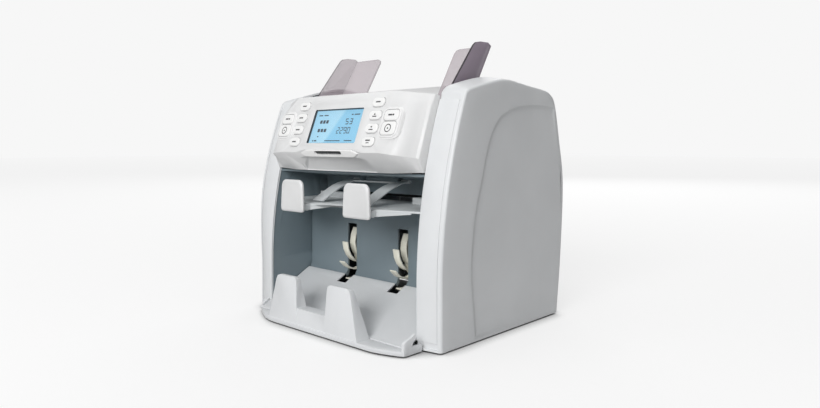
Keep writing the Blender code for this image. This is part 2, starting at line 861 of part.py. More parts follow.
def hopper_point(along, up=0.0):
    """A point of the hopper floor's section, measured from its front edge."""
    y = HOPPER_EDGE[0] + along * math.cos(HOPPER_SLOPE) + up * math.sin(HOPPER_SLOPE)
    z = HOPPER_EDGE[1] - along * math.sin(HOPPER_SLOPE) + up * math.cos(HOPPER_SLOPE)
    return (y, z)


def wall_point(up, back=0.0):
    """A point of the guides' leaning plane: up along it and back from it."""
    y = GUIDE_FOOT[0] + up * math.sin(GUIDE_LEAN) + back * math.cos(GUIDE_LEAN)
    z = GUIDE_FOOT[1] + up * math.cos(GUIDE_LEAN) - back * math.sin(GUIDE_LEAN)
    return (y, z)


def hopper(look):
    """The moulding that the notes are laid in: floor, rear wall, deck and two cheeks."""
    floor = [hopper_point(0.6), hopper_point(34.0), hopper_point(34.0, -WALL), hopper_point(2.6, -WALL)]
    moulding = make("hopper", prism_x(floor, -INSIDE_WIDTH, INSIDE_WIDTH), look)
    wall_and_deck = [
        wall_point(-24.0, 1.0),
        wall_point(26.5, 1.0),
        (14.0, 239.6),
        (60.0, 236.0),
        (60.0, 233.6),
        (18.5, 236.4),
        wall_point(24.0, 3.6),
        wall_point(-24.0, 3.6),
    ]
    add(moulding, prism_x(wall_and_deck, -INSIDE_WIDTH, INSIDE_WIDTH))
    cheek = [
        hopper_point(2.6, -WALL),
        hopper_point(34.0, -WALL),
        wall_point(-24.0, 3.6),
        (18.5, 232.0),
        (60.0, 232.0),
        (60.0, 237.0),
        (17.0, 241.5),
        (-20.0, 236.5),
        (-42.0, 228.0),
        (-52.5, 220.0),
    ]
    for side in (-1, 1):
        add(moulding, prism_x(cheek, side * (INSIDE_WIDTH - 2.0), side * INSIDE_WIDTH))
    y, z = DRIVE["pickup"][0]
    windows = [box(x - 6.5, x + 6.5, y - 8, y + 16, z - 6, z + 14) for x in (-20, 20)]
    slots = []
    for side in (-1, 1):
        band_shape = [wall_point(-3.0, -2), wall_point(3.0, -2), wall_point(3.0, 6), wall_point(-3.0, 6)]
        slots.append(prism_x(band_shape, side * 40.0, side * 94.0))
    cut(moulding, join(*windows, *slots))
    return moulding


def guide_rail(look):
    return make("guide_rail", turned_x(RAIL_AXIS, [(-104.8, 2.5), (104.8, 2.5)], 16), look)


def bill_guide(side, name, look):
    """A leaning L: a side plate and a rear plate, with a slider on the rail behind the wall."""
    rear_low, rear_high = wall_point(-28.0), wall_point(71.5)
    plate = [
        (-48.3, 210.2),
        (rear_low[0] - 0.6, rear_low[1] - 0.6),
        rear_high,
        (rear_high[0] - 5.0, rear_high[1] + 3.0),
        (14.5, 281.3),
        (8.0, 280.0),
        (4.0, 276.6),
    ]
    x0 = side * (GUIDE_X - GUIDE_THICK / 2)
    x1 = side * (GUIDE_X + GUIDE_THICK / 2)
    guide = make(name, prism_x(plate, x0, x1), look, (side * GUIDE_X, *GUIDE_FOOT))
    inner = GUIDE_INNER_X
    face = [
        (GUIDE_X, -26.0),
        (GUIDE_X, 70.5),
        (inner + 5, 70.5),
        (inner + 1.4, 69.0),
        (inner, 65.5),
        (inner, -22.0),
        (inner + 4, -26.0),
    ]
    flange = []
    for back in (-GUIDE_THICK, 0.0):
        flange.append([(side * x, *wall_point(up, back)) for x, up in face])
    add(guide, loft(flange))
    tongue = [
        wall_point(-2.0, -0.5),
        wall_point(2.0, -0.5),
        wall_point(2.0, 7.0),
        wall_point(-2.0, 7.0),
    ]
    add(guide, prism_x(tongue, side * 80.0, side * 90.0))
    block = [wall_point(5.0, 5.0), wall_point(5.0, 14.0), wall_point(-5.0, 14.0), wall_point(-5.0, 5.0)]
    add(guide, prism_x(block, side * 76.0, side * 94.0))
    cut(guide, turned_x(RAIL_AXIS, [(side * 70.0, 2.9), (side * 100.0, 2.9)], 16))
    return guide


def roller_shaft(name, drive, rollers, look):
    """A shaft with its pulley outside the left frame and its rollers, turned in one piece."""
    axis, pulley = DRIVE[drive]
    x0, x1 = PULLEY_X
    profile = [
        (x0 - 1.5, SHAFT_RADIUS),
        (x0, SHAFT_RADIUS),
        (x0, pulley),
        (x1, pulley),
        (x1, SHAFT_RADIUS),
    ]
    for middle, width, radius in rollers:
        profile += [
            (middle - width / 2, SHAFT_RADIUS),
            (middle - width / 2, radius),
            (middle + width / 2, radius),
            (middle + width / 2, SHAFT_RADIUS),
        ]
    profile.append((INSIDE_WIDTH - 0.2, SHAFT_RADIUS))
    return make(name, turned_x(axis, profile, 24), look, (0.0, *axis))


def stacker_wheel(side, name, look):
    """A hub with thin curved fingers that lay the notes down one by one."""
    y, z = WHEEL_AXIS
    x0, x1 = side * WHEEL_X - 4, side * WHEEL_X + 4
    barrel = turned_x(WHEEL_AXIS, [(x0 - 1, HUB_RADIUS), (x1 + 1, HUB_RADIUS)], 24)
    hub = make(name, barrel, look, (side * WHEEL_X, y, z))
    blades = []
    for i in range(FINGERS):
        start = 2 * math.pi * i / FINGERS
        line = []
        for step in range(6):
            t = step / 5
            angle = start - 1.15 * t**0.9
            radius = 10.5 + (WHEEL_RADIUS - 10.5) * t
            line.append((y + radius * math.cos(angle), z + radius * math.sin(angle)))
        outline = shifted(line, 0.6) + shifted(line, -0.6)[::-1]
        blades.append(prism_x(outline, x0, x1))
    add(hub, join(*blades))
    cut(hub, turned_x(WHEEL_AXIS, [(x0 - 4, SHAFT_RADIUS + GAP), (x1 + 4, SHAFT_RADIUS + GAP)], 24))
    return hub


def convex(points):
    """The convex hull of points in the plane, anticlockwise."""
    points = sorted(set(points))

    def half(ordered):
        chain = []
        for p in ordered:
            while len(chain) > 1 and turn(chain[-2], chain[-1], p) <= 1e-9:
                chain.pop()
            chain.append(p)
        return chain[:-1]

    return half(points) + half(points[::-1])


def turn(a, b, c):
    return (b[0] - a[0]) * (c[1] - a[1]) - (b[1] - a[1]) * (c[0] - a[0])


def drive_belt(look):
    def loop(extra):
        points = []
        for axis, radius in DRIVE.values():
            points += circle(axis, radius + extra, 32)
        return convex(points)

    belt = make("drive_belt", prism_x(loop(GAP + 1.5), *BELT_X), look)
    cut(belt, prism_x(loop(GAP + 0.1), BELT_X[0] - 2, BELT_X[1] + 2))
    return belt


def rear_line(inset):
    """The rear of the casing, from the deck down to the door's hinge."""
    line = shifted(cover_line(), -inset)
    for (y0, z0), (y1, z1) in zip(line, line[1:]):
        if y0 < DOOR_EDGE <= y1:
            start = (DOOR_EDGE, z0 + (z1 - z0) * (DOOR_EDGE - y0) / (y1 - y0))
    return [start] + [(y, z) for y, z in line if y > DOOR_EDGE + 1.0 and z > DOOR_PIVOT[1] + 1.0]


def rear_door(look):
    outer = rear_line(2.0)
    inner = rear_line(4.5)
    y, z = DOOR_PIVOT
    outline = [*outer, (y + 3.4, z), (y + 1.0, z - 1.6), (y, z), *inner[::-1]]
    half = INSIDE_WIDTH - 0.3
    return make("rear_door", prism_x(outline, -half, half), look, (0.0, y, z))


def rear_panel(look):
    panel = make("rear_panel", box(-INSIDE_WIDTH, INSIDE_WIDTH, 103.6, 106.0, 6.0, 95.0), look)
    x = SWITCH_X
    z = SWITCH_AXIS[1]
    holes = [
        box(x - 7, x + 7, 100, 110, z - 10.4, z + 10.4),
        box(x + 16.7, x + 44.3, 100, 110, z - 10.3, z + 10.3),
    ]
    cut(panel, join(*holes))
    return panel


def power_inlet(look):
    """The mains socket beside the switch, open to the rear."""
    x = SWITCH_X + 30.5
    z = SWITCH_AXIS[1]
    inlet = make("power_inlet", box(x - 13.5, x + 13.5, 84, 106.8, z - 10, z + 10), look)
    cut(inlet, box(x - 11, x + 11, 92, 110, z - 7.5, z + 7.5))
    for pin_x, pin_z in ((x - 6, z - 1.5), (x + 6, z - 1.5), (x, z + 3.0)):
        add(inlet, box(pin_x - 1, pin_x + 1, 90, 103, pin_z - 2, pin_z + 2))
    return inlet


def power_switch(look):
    x = SWITCH_X
    y, z = SWITCH_AXIS
    outline = [
        (y - 4.0, z - 8.0),
        (y + 2.2, z - 9.4),
        (y + 1.4, z),
        (y + 4.2, z + 9.4),
        (y - 4.0, z + 8.0),
    ]
    return make("power_switch", prism_x(outline, x - 6, x + 6), look, (x, y, z))


def inner_works(looks):
    make("sensor_bar", box(-96, 96, 16, 27, 122, 134), looks["black"])
    make("main_board", box(-70, 100, 96.0, 97.6, 46, 92), looks["board"])
    make("power_supply", box(10, 100, 30, 84, 6.2, 40), looks["steel"])
    y, z = DRIVE["motor"][0]
    body = [(-104.0, 6.0), (-102.0, 6.0), (-102.0, 21.0), (-58.0, 21.0), (-58.0, 8.0), (-54.0, 8.0)]
    make("main_motor", turned_x((y, z), body, 24), looks["steel"])
    retard = [(-24.0, 2.5), (-21.0, 2.5), (-21.0, 8.4), (21.0, 8.4), (21.0, 2.5), (24.0, 2.5)]
    roller = turned_x(RETARD_AXIS, retard, 20)
    make("retard_roller", roller, looks["rubber"], (0.0, *RETARD_AXIS))
    y, z = GATE_AXIS
    gate = [
        (y, z + 2.2),
        (y - 14.0, z + 4.6),
        (y - 15.0, z + 3.6),
        (y - 1.8, z - 1.6),
        (y + 1.6, z - 1.6),
        (y + 2.2, z),
    ]
    make("diverter_gate", prism_x(gate, -100, 100), looks["black"], (0.0, y, z))


def motor_pulley(look):
    axis, radius = DRIVE["motor"]
    x0, x1 = PULLEY_X
    profile = [(x0 - 1.5, 3.0), (x0, 3.0), (x0, radius), (x1, radius), (x1, 3.0), (-104.4, 3.0)]
    return make("motor_pulley", turned_x(axis, profile, 24), look, (0.0, *axis))


def build():
    clear_scene()
    looks = {
        "casing": material("casing_white", (0.73, 0.74, 0.75), 0.42),
        "panel": material("panel_white", (0.78, 0.78, 0.78), 0.38),
        "tray": material("tray_grey_white", (0.70, 0.72, 0.74), 0.45),
        "slate": material("slate_plastic", (0.13, 0.17, 0.20), 0.55),
        "key": material("key_white", (0.80, 0.80, 0.80), 0.35),
        "screen": material("screen_blue", (0.28, 0.58, 0.78), 0.30),
        "window": material("clear_window", (0.80, 0.88, 0.92), 0.05),
        "smoke": material("smoked_plastic", (0.25, 0.20, 0.25), 0.15),
        "clear": material("frosted_plastic", (0.60, 0.62, 0.63), 0.30),
        "finger": material("cream_rubber", (0.80, 0.78, 0.66), 0.60),
        "rubber": material("black_rubber", (0.03, 0.03, 0.03), 0.80),
        "black": material("black_plastic", (0.04, 0.04, 0.045), 0.45),
        "steel": material("steel", (0.55, 0.56, 0.57), 0.35, 1.0),
        "board": material("circuit_board", (0.03, 0.16, 0.08), 0.50),
    }
    base_pan(looks["steel"])
    for number, (x, y) in enumerate(((-92, -70), (92, -70), (-92, 88), (92, 88)), 1):
        foot(f"foot_{number}", x, y, looks["rubber"])
    for side, word in ((-1, "left"), (1, "right")):
        side_cover(side, f"{word}_side_cover", looks["casing"])
        front_trim(side, f"{word}_front_trim", looks["casing"])
        side_frame(side, f"{word}_side_frame", looks["slate"])
        key_bezel(side, f"{word}_key_bezel", looks["panel"])
        reject_stop(side, f"{word}_reject_stop", looks["panel"])
        bill_guide(side, f"{word}_bill_guide", looks["smoke"])
        stacker_wheel(side, f"{word}_stacker_wheel", looks["finger"])
    front_tray(looks["tray"])
    stacker_floor(looks["tray"])
    stacker_back_plate(looks["slate"])
    control_panel(looks["panel"])
    keys(looks["key"])
    display(looks["window"], looks["screen"])
    keypad_board(looks["board"])
    status_window(looks["black"])
    reject_shelf(looks["clear"])
    pocket_roof(looks["slate"])
    press_guide(looks["clear"])
    hopper(looks["panel"])
    guide_rail(looks["steel"])
    roller_shaft("stacker_shaft", "stacker", [], looks["steel"])
    pickup = [(x, 10, 9.0) for x in (-20, 20)]
    feed = [(x, 14, 11.0) for x in (-34, 0, 34)]
    transport = [(x, 16, 14.0) for x in (-60, 0, 60)]
    roller_shaft("pickup_roller_shaft", "pickup", pickup, looks["rubber"])
    roller_shaft("feed_roller_shaft", "feed", feed, looks["rubber"])
    roller_shaft("transport_roller_shaft", "transport", transport, looks["rubber"])
    motor_pulley(looks["steel"])
    drive_belt(looks["rubber"])
    rear_panel(looks["casing"])
    rear_door(looks["casing"])
    power_inlet(looks["black"])
    power_switch(looks["black"])
    inner_works(looks)


build()
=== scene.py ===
"""The look of a two-pocket banknote counting machine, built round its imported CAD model.

Shapes are worked out in millimetres and piece() turns them into metres. X runs to the machine's
right seen from the front, Y to its back and Z up, as in the CAD model.
"""

import json
import math

import bmesh
import bpy
from mathutils import Matrix, Vector

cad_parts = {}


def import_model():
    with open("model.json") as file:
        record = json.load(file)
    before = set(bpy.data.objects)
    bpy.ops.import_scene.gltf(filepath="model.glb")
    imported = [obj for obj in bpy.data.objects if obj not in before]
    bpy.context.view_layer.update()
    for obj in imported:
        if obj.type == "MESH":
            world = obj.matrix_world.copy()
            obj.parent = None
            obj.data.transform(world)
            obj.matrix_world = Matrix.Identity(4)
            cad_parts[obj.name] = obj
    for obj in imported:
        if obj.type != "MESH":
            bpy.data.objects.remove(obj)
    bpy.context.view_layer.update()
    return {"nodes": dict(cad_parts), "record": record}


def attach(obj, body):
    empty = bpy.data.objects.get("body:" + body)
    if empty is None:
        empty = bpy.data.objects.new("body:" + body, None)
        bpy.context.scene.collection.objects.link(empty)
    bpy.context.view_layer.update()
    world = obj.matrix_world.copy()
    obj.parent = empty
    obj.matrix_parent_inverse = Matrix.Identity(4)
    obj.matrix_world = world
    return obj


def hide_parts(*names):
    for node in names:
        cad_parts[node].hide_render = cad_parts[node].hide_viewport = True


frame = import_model()
MM = 0.001
SHARP_ANGLE = 32.0  # edges of a piece that turn by more degrees stay sharp

# Casing, as in the CAD model
HALF_WIDTH = 132.5
HALF_OPENING = 107.5
WALL = 2.5
FLOOR_LEVEL = 1.5
FRONT_Y = -83.0
FRONT_BEND_Z = 54.0
FRONT_RADIUS = 439.0
BAND_RISE = 4.3
FLARE_OUT = 3.9
FLARE_AHEAD = 4.7
FLARE_LEVELS = (40.0, 150.0)
FLARE_DEPTHS = (-40.0, 60.0)
RIM_FADE = (20.0, 100.0)  # depths between which the rim's rise fades out
RIM_ROUND = 0.8
EDGE_RADIUS = 2.4  # round edge between the front band and the side face
REAR_Y = 95.0  # where the rear edge of a cover begins
TRIM_X = 128.5  # where the front trim's seat ends
TRIM_Z = (3.4, 224.4)
TRIM_SINK = 1.5
TRIM_THICK = 1.2
SIDE_SINK = 1.3  # how deep the side face's rear area lies

# Control panel, as in the CAD model
PANEL_TOP = (-77.0, 228.9)
PANEL_BOTTOM = (-98.8, 171.6)
PANEL_LEAN = math.atan2(PANEL_TOP[0] - PANEL_BOTTOM[0], PANEL_TOP[1] - PANEL_BOTTOM[1])
PANEL_CENTRE = (
    0.0,
    (PANEL_TOP[0] + PANEL_BOTTOM[0]) / 2,
    (PANEL_TOP[1] + PANEL_BOTTOM[1]) / 2,
)
PANEL_HEIGHT = 61.3
PLATEAU = 72.0  # where the swept-back wing starts at the top
LOW_PLATEAU = 86.0  # and below the shoulder
SHOULDER_V = 12.0
WING_SWEEP = 15.0
WING_POWER = 1.15
LOW_WING_POWER = 1.5
WING_END = 103.7
SCREEN_SIZE = (72.4, 36.2)
SCREEN_V = -2.9
SCREEN_FACE = -2.9

# Keys and pads, as in the CAD model but with rounder edges
KEY_SIZE = (16.4, 9.2)
KEY_RADIUS = 4.3
KEY_U = 55.0
KEY_TOP_V = 19.6
KEY_PITCH = 13.15
KEY_BACK = -4.0  # how far a key reaches behind the panel's face
KEY_FACE = 1.35  # and how far its face stands in front
KEY_ROUND = 0.95
KEY_CROWN = 0.12
PAD_KEYS = {"upper": (5.7, 10.6), "lower": (-7.2, 13.2)}
PAD_KEY_WIDTH = 18.6
PAD_KEY_RADIUS = 3.6
PAD_KEY_FACE = 1.75
PAD_KEY_ROUND = 0.9
PAD_U = 77.2
PAD_V = -1.6
PAD_SIZE = (24.0, 29.0)
PAD_RADIUS = 6.5
PAD_FACE = 1.3
PAD_ROUND = 1.0
PAD_BACK = -9.1
PAD_FLOOR = -5.4
PAD_SKIRT = (0.9, 0.9)  # how far its rim runs out everywhere, and what more it does on the wing
SKIRT_LIFT = 0.06  # how far the rim's edge stands on the panel
SKIRT_BACK = 0.3  # and how far it goes in
WELL_GAP = 0.7  # how much wider a well in the pad is than its key
WELL_RADIUS = 3.9

# Lip under the screen and the slot in it, as in the CAD model
LIP_TOP = (-97.75, 174.35)
LIP_BOTTOM = (-94.6, 167.4)
SLOT_SIZE = (39.7, 3.9)
SLOT_PLACE = 0.4  # how far down the lip its middle is

# Thin details that only this model has
LIP_PLATE = [(-34.0, 2.7), (-43.0, -0.6), (-36.0, -4.5), (36.0, -4.5), (43.0, -0.6), (34.0, 2.7)]
LIP_PLATE_FACE = 1.2
LIP_PLATE_BACK = -0.25
LIP_PLATE_ROUND = 0.6
LIP_PLATE_CORNER = 1.6
GAP_SHADE_GROWTH = (0.16, 0.62)  # how much wider than its key a dark ring of painted gap shade is inside and outside
GAP_SHADE_LEVELS = (-1.6, -0.2)
PRINT_THICK = 0.05
PRINT_SINK = 0.01
SCREEN_PRINT = -2.86
LINER_INSETS = (0.1, 0.45)  # how much narrower than the screen the liner is outside and inside
LINER_RADII = (1.1, 1.0)
LINER_LEVELS = (-2.3, -0.15)

# Note guides, as in the CAD model
GUIDE_PLATE_X = 97.5  # where a guide's side plate begins


def clamped(value):
    """A value kept between 0 and 1."""
    return min(1.0, max(0.0, value))


def eased(t):
    """A share from 0 to 1 with a soft start and end."""
    return t * t * (3 - 2 * t)


def panel_matrix():
    """From the panel's own frame (u right, v up, w out) to the machine's."""
    lean = Matrix.Rotation(math.pi / 2 - PANEL_LEAN, 4, "X")
    return Matrix.Translation(Vector(PANEL_CENTRE)) @ lean


# ---------------------------------------------------------------- materials


class Nodes:
    """Short names for building one material's node tree."""

    def __init__(self, name):
        self.material = bpy.data.materials.new(name)
        self.material.use_nodes = True
        self.tree = self.material.node_tree
        self.shader = self.tree.nodes["Principled BSDF"]
        self.coords = self.add("ShaderNodeTexCoord").outputs["Object"]

    def add(self, kind, **values):
        """A new node with its settings."""
        node = self.tree.nodes.new(kind)
        for key, value in values.items():
            setattr(node, key, value)
        return node

    def put(self, socket, value):
        """Links an output to a socket, or sets the socket to a value."""
        if isinstance(value, bpy.types.NodeSocket):
            self.tree.links.new(value, socket)
        else:
            socket.default_value = value

    def axes(self, vector):
        """The X, Y and Z of a vector, by name."""
        node = self.add("ShaderNodeSeparateXYZ")
        self.put(node.inputs["Vector"], vector)
        return node.outputs

    def combine(self, operation, *values):
        """What a math node makes of the values."""
        node = self.add("ShaderNodeMath", operation=operation)
        for socket, value in zip(node.inputs, values):
            self.put(socket, value)
        return node.outputs["Value"]

    def noise(self, scale, detail=3.0, roughness=0.55, stretch=None):
        """Noise of so many grains a metre."""
        node = self.add("ShaderNodeTexNoise")
        where = self.coords
        if stretch:
            mapping = self.add("ShaderNodeMapping")
            mapping.inputs["Scale"].default_value = stretch
            self.put(mapping.inputs["Vector"], where)
            where = mapping.outputs["Vector"]
        self.put(node.inputs["Vector"], where)
        node.inputs["Scale"].default_value = scale
        node.inputs["Detail"].default_value = detail
        node.inputs["Roughness"].default_value = roughness
        return node.outputs["Fac"]

    def spread(self, value, low, high, start=0.0, end=1.0):
        """A value from start to end mapped to low to high."""
        node = self.add("ShaderNodeMapRange")
        self.put(node.inputs["Value"], value)
        for key, number in (("From Min", start), ("From Max", end), ("To Min", low), ("To Max", high)):
            node.inputs[key].default_value = number
        return node.outputs["Result"]

    def mix(self, share, one, two):
        """A colour that goes from one to two as the share grows."""
        node = self.add("ShaderNodeMix", data_type="RGBA")
        self.put(node.inputs["Factor"], share)
        self.put(node.inputs[6], one)
        self.put(node.inputs[7], two)
        return node.outputs[2]

    def bump(self, *layers):
        """Layers of (height, strength, distance in metres), the first one lowest."""
        normal = None
        for height, strength, distance in layers:
            node = self.add("ShaderNodeBump")
            node.inputs["Strength"].default_value = strength
            node.inputs["Distance"].default_value = distance
            self.put(node.inputs["Height"], height)
            if normal:
                self.put(node.inputs["Normal"], normal)
            normal = node.outputs["Normal"]
        self.put(self.shader.inputs["Normal"], normal)


def shade(colour, factor):
    """A colour made lighter or darker."""
    return (*(min(1.0, c * factor) for c in colour), 1.0)


def moulded(name, colour, roughness=0.4, grain=0.35, uneven=0.03):
    """Injection-moulded plastic: a fine spark-eroded grain, slight unevenness in tone and gloss."""
    m = Nodes(name)
    tone = m.spread(m.noise(14.0, 4.0), 0.0, 1.0, 0.3, 0.7)
    base = m.mix(tone, shade(colour, 1.0 - uneven), shade(colour, 1.0 + uneven))
    m.put(m.shader.inputs["Base Color"], base)
    fine = m.noise(2600.0, 2.0)
    gloss = m.spread(m.noise(45.0, 5.0, 0.65), roughness - 0.05, roughness + 0.06, 0.3, 0.7)
    m.put(m.shader.inputs["Roughness"], gloss)
    m.bump((m.noise(60.0, 3.0), 0.05, 0.0004), (fine, grain, 0.00005))
    m.shader.inputs["Specular IOR Level"].default_value = 0.5
    return m.material


def translucent(name, colour, alpha, roughness=0.12, rim=0.45, grazing=0.97):
    """Clear tinted plastic that darkens where it is seen edge on."""
    m = Nodes(name)
    facing = m.add("ShaderNodeLayerWeight")
    facing.inputs["Blend"].default_value = 0.35
    base = m.mix(facing.outputs["Facing"], shade(colour, 1.0), shade(colour, rim))
    m.put(m.shader.inputs["Base Color"], base)
    m.put(m.shader.inputs["Roughness"], m.spread(m.noise(90.0, 4.0), roughness, roughness + 0.08))
    m.put(m.shader.inputs["Alpha"], m.spread(facing.outputs["Facing"], alpha, grazing, 0.0, 0.9))
    m.shader.inputs["IOR"].default_value = 1.49
    m.bump((m.noise(20.0, 3.0), 0.1, 0.0002))
    return m.material


def smoked_guide(name, plate, plate_alpha):
    """A tinted guide: pale where it lies across the hopper, its own tint on the side plate, dark rim."""
    m = Nodes(name)
    across = m.combine("ABSOLUTE", m.axes(m.coords)["X"])
    side = m.spread(across, 0.0, 1.0, (GUIDE_PLATE_X - 0.3) * MM, (GUIDE_PLATE_X + 0.3) * MM)
    normal = m.add("ShaderNodeTexCoord").outputs["Normal"]
    turned = m.combine("ABSOLUTE", m.axes(normal)["X"])
    rim = m.spread(turned, 1.0, 0.0, 0.35, 0.85)
    dark_rim = m.combine("MULTIPLY", side, rim)
    face = m.mix(side, (0.56, 0.50, 0.53, 1.0), (*plate, 1.0))
    m.put(m.shader.inputs["Base Color"], m.mix(dark_rim, face, (0.022, 0.018, 0.024, 1.0)))
    m.put(m.shader.inputs["Alpha"], m.spread(side, 0.55, plate_alpha))
    m.put(m.shader.inputs["Roughness"], m.spread(m.noise(90.0, 4.0), 0.10, 0.20))
    m.shader.inputs["IOR"].default_value = 1.49
    m.bump((m.noise(20.0, 3.0), 0.1, 0.0002))
    return m.material


def metal(name, colour, roughness):
    """Bare metal with fine lines."""
    m = Nodes(name)
    lines = m.noise(160.0, 3.0, 0.6, stretch=(1.0, 1.0, 60.0))
    m.put(m.shader.inputs["Base Color"], m.mix(lines, shade(colour, 0.92), shade(colour, 1.06)))
    m.put(m.shader.inputs["Roughness"], m.spread(lines, roughness - 0.06, roughness + 0.1))
    m.shader.inputs["Metallic"].default_value = 1.0
    m.bump((lines, 0.15, 0.00005))
    return m.material


def rubber(name, colour, roughness=0.75):
    """Dull rubber with a little dust."""
    m = Nodes(name)
    dust = m.noise(70.0, 5.0, 0.7)
    m.put(m.shader.inputs["Base Color"], m.mix(dust, shade(colour, 0.9), shade(colour, 1.25)))
    m.put(m.shader.inputs["Roughness"], m.spread(dust, roughness - 0.1, roughness + 0.1))
    m.bump((m.noise(900.0, 3.0), 0.4, 0.0001))
    return m.material


def board_look():
    """A circuit board: solder mask with copper runs that show through as lighter lines."""
    m = Nodes("circuit_board_green")
    brick = m.add("ShaderNodeTexBrick")
    mapping = m.add("ShaderNodeMapping")
    mapping.inputs["Rotation"].default_value = (math.pi / 2, 0.0, 0.0)
    m.put(mapping.inputs["Vector"], m.coords)
    m.put(brick.inputs["Vector"], mapping.outputs["Vector"])
    brick.inputs["Scale"].default_value = 90.0
    brick.inputs["Mortar Size"].default_value = 0.03
    brick.inputs["Color1"].default_value = (0.012, 0.11, 0.045, 1.0)
    brick.inputs["Color2"].default_value = (0.014, 0.13, 0.055, 1.0)
    brick.inputs["Mortar"].default_value = (0.05, 0.26, 0.11, 1.0)
    m.put(m.shader.inputs["Base Color"], brick.outputs["Color"])
    m.shader.inputs["Roughness"].default_value = 0.35
    m.bump((brick.outputs["Fac"], 0.2, 0.0001))
    return m.material


def screen_look():
    """The lit liquid-crystal face: light blue, with a paler slanting sheen painted in as a glare (a
    painted highlight), and a dark surround.
    """
    m = Nodes("lcd_blue")
    place = m.axes(m.coords)
    # A slanting band, paler than the rest of the glow: a painted highlight standing in for glare on the
    # pane
    slant = m.combine("MULTIPLY_ADD", place["Z"], -0.62, place["X"])
    edge = m.spread(slant, 1.0, 0.0, -0.1275, -0.1225)
    fade = m.spread(slant, 0.45, 1.0, -0.172, -0.126)
    painted_sheen = m.combine("MULTIPLY", edge, fade)
    blue = m.mix(m.noise(3000.0, 1.0), (0.215, 0.53, 0.76, 1.0), (0.235, 0.56, 0.79, 1.0))
    lit = m.mix(painted_sheen, blue, (0.43, 0.71, 0.87, 1.0))
    half = SCREEN_SIZE[0] / 2 * MM
    across = m.combine("ABSOLUTE", place["X"])
    top = (panel_matrix() @ Vector((0.0, SCREEN_V + SCREEN_SIZE[1] / 2, SCREEN_FACE))).z * MM
    inside = m.combine(
        "MULTIPLY",
        m.spread(across, 1.0, 0.0, half + 0.0001, half + 0.0003),
        m.spread(place["Z"], 1.0, 0.0, top - 0.0003, top - 0.0001),
    )
    base = m.mix(inside, (0.01, 0.012, 0.014, 1.0), (0.10, 0.20, 0.27, 1.0))
    m.put(m.shader.inputs["Base Color"], base)
    m.put(m.shader.inputs["Emission Color"], m.mix(inside, (0.012, 0.018, 0.026, 1.0), lit))
    m.shader.inputs["Emission Strength"].default_value = 0.75
    m.shader.inputs["Roughness"].default_value = 0.45
    m.shader.inputs["Specular IOR Level"].default_value = 0.2
    return m.material


CASING = (0.742, 0.756, 0.768)
PANEL = (0.742, 0.745, 0.747)
TRAY = (0.728, 0.742, 0.756)
LOOKS = {
    "casing_white": moulded("casing_plastic", CASING, 0.42, 0.35),
    "panel_white": moulded("panel_plastic", PANEL, 0.40, 0.30),
    "tray_grey_white": moulded("tray_plastic", TRAY, 0.45, 0.35),
    "slate_plastic": moulded("slate_plastic_wall", (0.185, 0.232, 0.258), 0.42, 0.30, 0.05),
    "key_white": moulded("key_plastic", (0.87, 0.87, 0.865), 0.33, 0.15, 0.01),
    "blue_screen": screen_look(),
    "clear_window": translucent("window_pane", (0.85, 0.92, 0.95), 0.02, 0.03, 0.45, 0.10),
    "smoked_plastic": smoked_guide("smoked_guide_right", (0.330, 0.275, 0.335), 0.84),
    "frosted_plastic": translucent("frosted_shelf", (0.76, 0.79, 0.80), 0.80, 0.25, 0.95),
    "cream_rubber": rubber("cream_fingers", (0.82, 0.79, 0.68), 0.6),
    "black_rubber": rubber("black_rubber", (0.025, 0.025, 0.027)),
    "black_plastic": moulded("black_moulding", (0.028, 0.030, 0.033), 0.45, 0.4, 0.08),
    "steel": metal("zinc_steel", (0.62, 0.63, 0.64), 0.32),
    "circuit_board": board_look(),
    "pad_rim": moulded("pad_plastic", (0.83, 0.83, 0.83), 0.38, 0.25),
    # Dark grey for the rings in the key gaps: painted shade for the shadow there
    "gap_shade": rubber("key_gap_shade_grey", (0.16, 0.165, 0.17)),
}
# A paler, clearer copy of the smoked guide for the left guide: painted light, for how differently that
# guide is lit
PAINTED_LIT_GUIDE = smoked_guide("smoked_guide_left_painted_lit", (0.60, 0.53, 0.57), 0.50)
INK = moulded("key_print", (0.045, 0.045, 0.048), 0.5, 0.1)
DIGIT = moulded("lcd_segments", (0.03, 0.05, 0.08), 0.4, 0.05)


# ---------------------------------------------------------------- shapes


def smooth_through(points, steps):
    """A Catmull-Rom curve through the points."""
    ends = [points[0], *points, points[-1]]
    curve = []
    for a, b, c, d in zip(ends, ends[1:], ends[2:], ends[3:]):
        a, b, c, d = Vector(a), Vector(b), Vector(c), Vector(d)
        for i in range(steps):
            t = i / steps
            p = 2 * b + (c - a) * t + (2 * a - 5 * b + 4 * c - d) * t**2
            curve.append(tuple(0.5 * (p + (3 * b - a - 3 * c + d) * t**3)))
    return [*curve, points[-1]]


def shifted(points, distance):
    """An open line moved to its left by a distance, or by a function of (y, z)."""
    moved = []
    for i, (y, z) in enumerate(points):
        before = Vector(points[max(i - 1, 0)])
        after = Vector(points[min(i + 1, len(points) - 1)])
        along = (after - before).normalized()
        far = distance(y, z) if callable(distance) else distance
        moved.append((y - along.y * far, z + along.x * far))
    return moved


def loft(rings, caps=True):
    """A body through rings of equal length, with flat ends."""
    shape = bmesh.new()
    loops = [[shape.verts.new(point) for point in ring] for ring in rings]
    count = len(rings[0])
    for one, two in zip(loops, loops[1:]):
        for i in range(count):
            j = (i + 1) % count
            shape.faces.new((one[i], one[j], two[j], two[i]))
    if caps:
        shape.faces.new(loops[0])
        shape.faces.new(reversed(loops[-1]))
    return shape


def walls(shape, pairs):
    """Faces between each pair of closed loops of a shape's vertices."""
    for one, two in pairs:
        for i in range(len(one)):
            shape.faces.new((one[i - 1], one[i], two[i], two[i - 1]))


def in_turn(loops):
    """Each loop with the next one, and the last with the first."""
    return zip(loops, loops[1:] + loops[:1])


